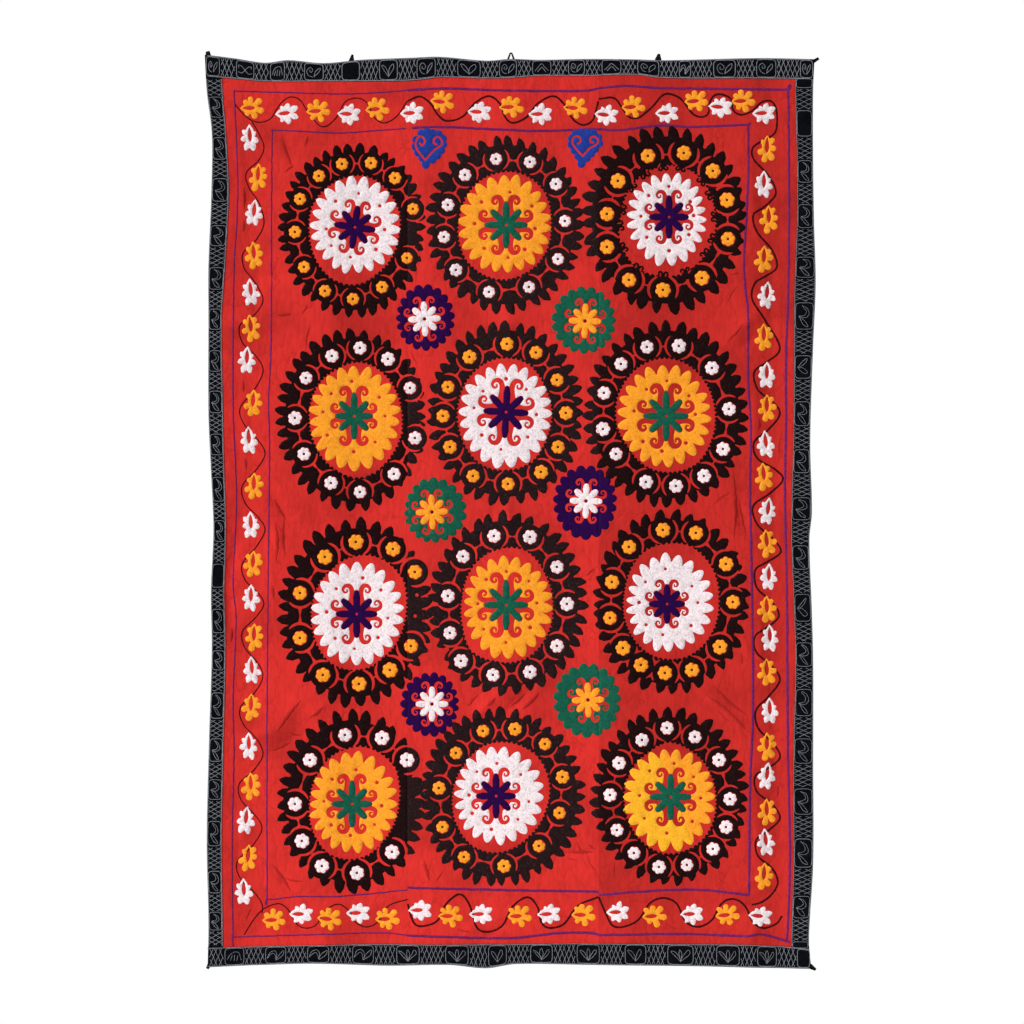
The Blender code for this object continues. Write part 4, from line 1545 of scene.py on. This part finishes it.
# Small creases: how many are tried, and their longest length, half width and height
PINCHES = 260
PINCH_LENGTH = 70.0
PINCH_HALF = 3.4
PINCH_HEIGHT = 1.5
PLACED_HALF = 4.6     # half width of the creases on the listed wrinkles
PLACED_HIGHER = 1.5   # and their height to the rise in that table
for px0, py0, px1, py1, _, height in WRINKLES:
    path = np.array((at(px0, py0), at(px1, py1)))
    bow = np.array((path[0, 1] - path[1, 1], path[1, 0] - path[0, 0])) * random.uniform(-0.06, 0.06)
    pinch([path[0], path.mean(0) + bow, path[1]], PLACED_HALF, PLACED_HIGHER * abs(height))
for _ in range(PINCHES):
    x, z = at(random.uniform(228, 793), random.uniform(82, 944))
    way = random.choice((0.25, 0.8, 1.35, 2.2, 2.8)) + random.uniform(-0.25, 0.25)
    long = random.uniform(0.4, 1.0) * PINCH_LENGTH
    end = (x + long * cos(way), z + long * sin(way))
    bend = (x + 0.5 * long * cos(way + 0.16), z + 0.5 * long * sin(way + 0.16))
    share = random.uniform(0.5, 1.0)
    pinch([(x, z), bend, end], PINCH_HALF * share, PINCH_HEIGHT * share)

for (slot, side), cloth in gathered.items():
    if cloth.count:
        # The creases' ribbons take the red cotton darkened with painted crease shade.
        look = CREASE_SHADE_COTTON if slot == "red_cotton" else LOOKS[slot]
        cloth.made(slot.split("_")[0] + "_" + side, look, slot)

# Stitches on the border strips. A block of scroll work, a row each: the photograph's places where
# it starts and ends, and its motif, which is the hook where none is named; crossed lines fill the
# stretches between the blocks
TOP_BLOCKS = (
    (206, 220, "curl"), (236, 254.5, "twine"), (270, 285, "comb"), (304, 324, "curl"),
    (341.5, 360, "bare"), (379, 398, "leaves"), (416.5, 436, "curl"), (457, 481, "leaves"),
    (499, 517, "curl"), (532, 551.5, "peak"), (568, 585, "curl"), (601.5, 621.5, "peak"),
    (637, 659.5, "curl"), (679, 691, "hook"), (713, 736, "curl"), (756, 776.5, "curl"),
    (800, 813, "curl"),
)
BOTTOM_BLOCKS = (
    (224.5, 244.5, "comb"), (265, 286.5, "hook"), (307, 329.5, "hook"), (352, 374, "hook"),
    (396, 420, "spray"), (445, 469, "spray"), (488, 507, "leaves"), (530, 553, "spray"),
    (576.5, 600, "spray"), (624.5, 646.5, "leaves"), (667, 694, "spray"), (716, 740, "spray"),
    (757, 777, "spray"), (797, 810, "bare"),
)
LEFT_BLOCKS = (
    (96.5, 118), (137, 160), (178, 202), (225, 246.5), (267, 290), (308.5, 330), (350, 372), (390.5, 413.5),
    (433.5, 455.5), (476.5, 502), (520, 542), (563.5, 588, "bare"), (608.5, 633.5), (650, 670.5),
    (692, 719), (738, 762), (779, 800), (820.5, 846.5), (870.5, 893.5), (911.5, 930.5),
)
RIGHT_BLOCKS = (
    (78.5, 88, "bare"), (110, 137, "bare"), (160, 183), (204, 228.5), (256.5, 278), (302, 330),
    (355, 379, "leaves"), (401, 426.5), (449, 473.5), (497, 520.5), (545, 570), (593.5, 622, "leaves"),
    (642, 667), (688.5, 716.5), (738, 764), (788, 815), (838, 868), (895.5, 918.5), (941.5, 948, "bare"),
)
# Each motif is a few lines of places along and up its block, from -1 to 1
MOTIFS = {
    "bare": (),
    "hook": (((-0.86, -0.34), (-0.64, 0.36), (-0.14, 0.62), (0.14, 0.10), (0.02, -0.70), (-0.06, -0.02),
              (-0.30, 0.26), (-0.60, 0.04), (-0.86, -0.34)),
             ((0.04, -0.68), (0.34, 0.02), (0.86, 0.56), (0.70, -0.08), (0.04, -0.68))),
    "leaves": (((0.0, -0.72), (-0.44, -0.14), (-0.78, 0.50), (-0.40, 0.34), (-0.06, -0.24), (0.0, -0.72)),
               ((0.0, -0.72), (0.10, 0.06), (0.48, 0.64), (0.62, 0.20), (0.32, -0.34), (0.0, -0.72))),
    "spray": (((0.0, -0.75), (-0.46, -0.20), (-0.84, 0.42), (-0.44, 0.28), (-0.10, -0.30), (0.0, -0.75)),
              ((0.0, -0.75), (-0.16, 0.06), (-0.04, 0.66), (0.14, 0.10), (0.0, -0.75)),
              ((0.0, -0.75), (0.26, -0.10), (0.62, 0.56), (0.74, 0.16), (0.40, -0.36), (0.0, -0.75))),
    "curl": (((-0.16, -0.66), (-0.58, -0.44), (-0.74, 0.14), (-0.44, 0.62), (-0.10, 0.30), (-0.24, -0.10),
              (-0.48, 0.02), (-0.42, 0.26)),
             ((0.04, -0.62), (0.18, 0.06), (0.66, 0.60), (0.62, 0.0), (0.04, -0.62))),
    "peak": (((-0.80, -0.44), (-0.34, 0.20), (0.0, 0.60), (0.34, 0.18), (0.80, -0.46)),
             ((-0.46, -0.60), (-0.18, -0.06), (0.0, 0.14), (0.20, -0.08), (0.48, -0.60))),
    "twine": (((-0.72, 0.16), (-0.80, 0.46), (-0.36, 0.36), (0.34, -0.42), (0.80, -0.36)),
              ((-0.80, -0.34), (-0.34, -0.44), (0.36, 0.34), (0.78, 0.44), (0.70, 0.14))),
    "comb": (((-0.78, -0.40), (-0.50, 0.30), (0.0, 0.58), (0.52, 0.40), (0.70, -0.50)),
             ((-0.44, -0.52), (-0.24, 0.14)), ((-0.06, -0.56), (0.06, 0.24)), ((0.30, -0.54), (0.36, 0.10))),
}
FRAME = ((-0.94, 0.0), (-0.92, 0.60), (-0.76, 0.82), (0.0, 0.86), (0.76, 0.82), (0.92, 0.60),
         (0.94, 0.0), (0.92, -0.60), (0.76, -0.82), (0.0, -0.86), (-0.76, -0.82), (-0.92, -0.60),
         (-0.94, 0.0))
STITCH_HALF = 0.75
FRAME_HALF = 0.9
EDGE_HALF = 1.2
STITCH_HEIGHT = 0.7
HATCH_PITCH = 4.5     # the crossed lines' spacing in photograph px, and how far each one leans
HATCH_LEAN = 8.5
HATCH_REACH = 0.86
LEVEL_EDGE = (207.5, 809.5)  # where the lines along the level strips' edges start and end
# A strip's outline, whether it lies level, whether up in a motif is its outer edge, its blocks,
# where its stitches start and end, and their width as a share
BANDS = {
    "top": (TOP_SIDE, True, True, TOP_BLOCKS, 220, 800, 1.06),
    "bottom": (BOTTOM_SIDE, True, False, BOTTOM_BLOCKS, 209, 797, 0.82),
    "left": (LEFT_SIDE, False, False, LEFT_BLOCKS, 79, 946, 0.86),
    "right": (RIGHT_SIDE, False, True, RIGHT_BLOCKS, 79, 946, 0.70),
}


def band_place(side, along, up):
    """Places on a strip in millimetres: along in photograph px, up from -1 to 1."""
    rows, level, outward, *_ = BANDS[side]
    share = 0.5 - 0.5 * np.asarray(up, float) * (1 if outward else -1)
    if level:
        x = (np.asarray(along, float) - PIXEL_X0) * PIXEL
        return np.stack([x, between(smooth(rows, x, 1), smooth(rows, x, 2), share)], -1)
    z = (PIXEL_Z0 - np.asarray(along, float)) * PIXEL
    return np.stack([between(smooth(rows, z, 1), smooth(rows, z, 2), share), z], -1)


def band_front(side):
    """The rise of a strip's face as a function of the place."""
    rows, level, *_ = BANDS[side]

    def front(x, z):
        place, value = (x, z) if level else (z, x)
        outer = smooth(rows, place, 1)
        share = np.clip((value - outer) / (smooth(rows, place, 2) - outer), 0, 1)
        return strip_rise(x, z, share) + np.interp(share, section[:, 0], section[:, 2])
    return front


for side, (_, _, _, blocks, first, last, fine) in BANDS.items():
    cloth = Cloth()
    front = band_front(side)

    def line(along, up, half, spacing=6.0):
        """Stitch one line of places along and up the strip."""
        path = spaced(band_place(side, along, up), spacing)
        path[1:-1] += random.uniform(-0.25, 0.25, path[1:-1].shape)
        ribbon(cloth, path, half * fine * random.uniform(0.85, 1.15), STITCH_HEIGHT, front)

    ends = [first] + [value for block in blocks for value in block[:2]] + [last]
    for start, end in zip(ends[::2], ends[1::2]):
        if end - start < 3:
            continue
        for lean in (HATCH_LEAN, -HATCH_LEAN):
            here = start - HATCH_LEAN / 2
            while here < end + HATCH_LEAN / 2:
                ups = np.linspace(-HATCH_REACH, HATCH_REACH, 9)
                along = here + lean * ups / 2 + random.uniform(-0.4, 0.4)
                kept = (along > start + 0.6) & (along < end - 0.6)
                if kept.sum() > 2:
                    line(along[kept][[0, -1]], ups[kept][[0, -1]], STITCH_HALF)
                here += HATCH_PITCH
    for start, end, *motif in blocks:
        middle = (start + end) / 2
        half = (end - start) / 2
        frame_line = np.array(FRAME)
        line(middle + half * frame_line[:, 0], frame_line[:, 1], FRAME_HALF, 5.0)
        for places in MOTIFS[motif[0] if motif else "hook"]:
            places = np.array(places) + random.uniform(-0.05, 0.05, (len(places), 2))
            line(middle + half * 0.9 * places[:, 0], 0.80 * places[:, 1], STITCH_HALF, 3.0)
    edge = np.linspace(*LEVEL_EDGE, 101) if BANDS[side][1] else np.linspace(first, last, 145)
    for up in (0.93, -0.93):
        line(edge, np.full(len(edge), up), EDGE_HALF, 8.0)
    cloth.made("border_stitch_" + side, LOOKS["border_stitch"], "border_stitch")


# Camera, light and floor

CAMERA_X = (512.0 - PIXEL_X0) * PIXEL * MM
CAMERA_Z = (PIXEL_Z0 - 512.0) * PIXEL * MM
CAMERA_AWAY = 20.0
FRAME_WIDE = 1024 * PIXEL * MM
scene = bpy.context.scene
camera_data = bpy.data.cameras.new("camera")
camera_data.sensor_width = 36.0
camera_data.lens = 36.0 * CAMERA_AWAY / FRAME_WIDE
camera_data.clip_end = 100.0
camera = bpy.data.objects.new("camera", camera_data)
camera.location = (CAMERA_X, -CAMERA_AWAY, CAMERA_Z)
camera.rotation_euler = (radians(90), 0.0, 0.0)
scene.collection.objects.link(camera)
scene.camera = camera


def sun(name, strength, angle, towards):
    """A soft distant light that shines towards a direction."""
    data = bpy.data.lights.new(name, "SUN")
    data.energy = strength
    data.angle = radians(angle)
    lamp = bpy.data.objects.new(name, data)
    lamp.rotation_euler = Vector(towards).to_track_quat("-Z", "Y").to_euler()
    scene.collection.objects.link(lamp)


# Strength, softness in degrees and direction of each light
sun("key_light", 3.3, 8.0, (0.70, 0.52, -0.50))
sun("back_light", 2.0, 20.0, (-0.45, -0.75, -0.45))

FILL_STRENGTH = 0.36
world = bpy.data.worlds.new("studio")
scene.world = world
world.use_nodes = True
nodes = world.node_tree.nodes
links = world.node_tree.links
backdrop = nodes["Background"]
backdrop.inputs["Color"].default_value = WHITE
fill = nodes.new("ShaderNodeBackground")
fill.inputs["Color"].default_value = WHITE
fill.inputs["Strength"].default_value = FILL_STRENGTH
choice = nodes.new("ShaderNodeMixShader")
seen = nodes.new("ShaderNodeLightPath")
links.new(seen.outputs["Is Camera Ray"], choice.inputs["Fac"])
links.new(fill.outputs["Background"], choice.inputs[1])
links.new(backdrop.outputs["Background"], choice.inputs[2])
links.new(choice.outputs["Shader"], nodes["World Output"].inputs["Surface"])
scene.view_settings.view_transform = "Standard"

FLOOR_Z = -2.6
FLOOR_HALF = 4.0
floor_mesh = bpy.data.meshes.new("floor")
corners = [(x * FLOOR_HALF, y * FLOOR_HALF, FLOOR_Z) for x, y in ((-1, -1), (1, -1), (1, 1), (-1, 1))]
floor_mesh.from_pydata(corners, [], [(0, 1, 2, 3)])
floor_look = Finish("pale_floor", 0.8)
FLOOR_TONES = [(0.80, 0.80, 0.79, 1), (0.84, 0.84, 0.83, 1)]
floor_tone = floor_look.ramp(floor_look.noise(3.0), 0.3, 0.7, FLOOR_TONES)
floor_mesh.materials.append(floor_look.coloured(floor_tone))
floor = bpy.data.objects.new("floor", floor_mesh)
scene.collection.objects.link(floor)
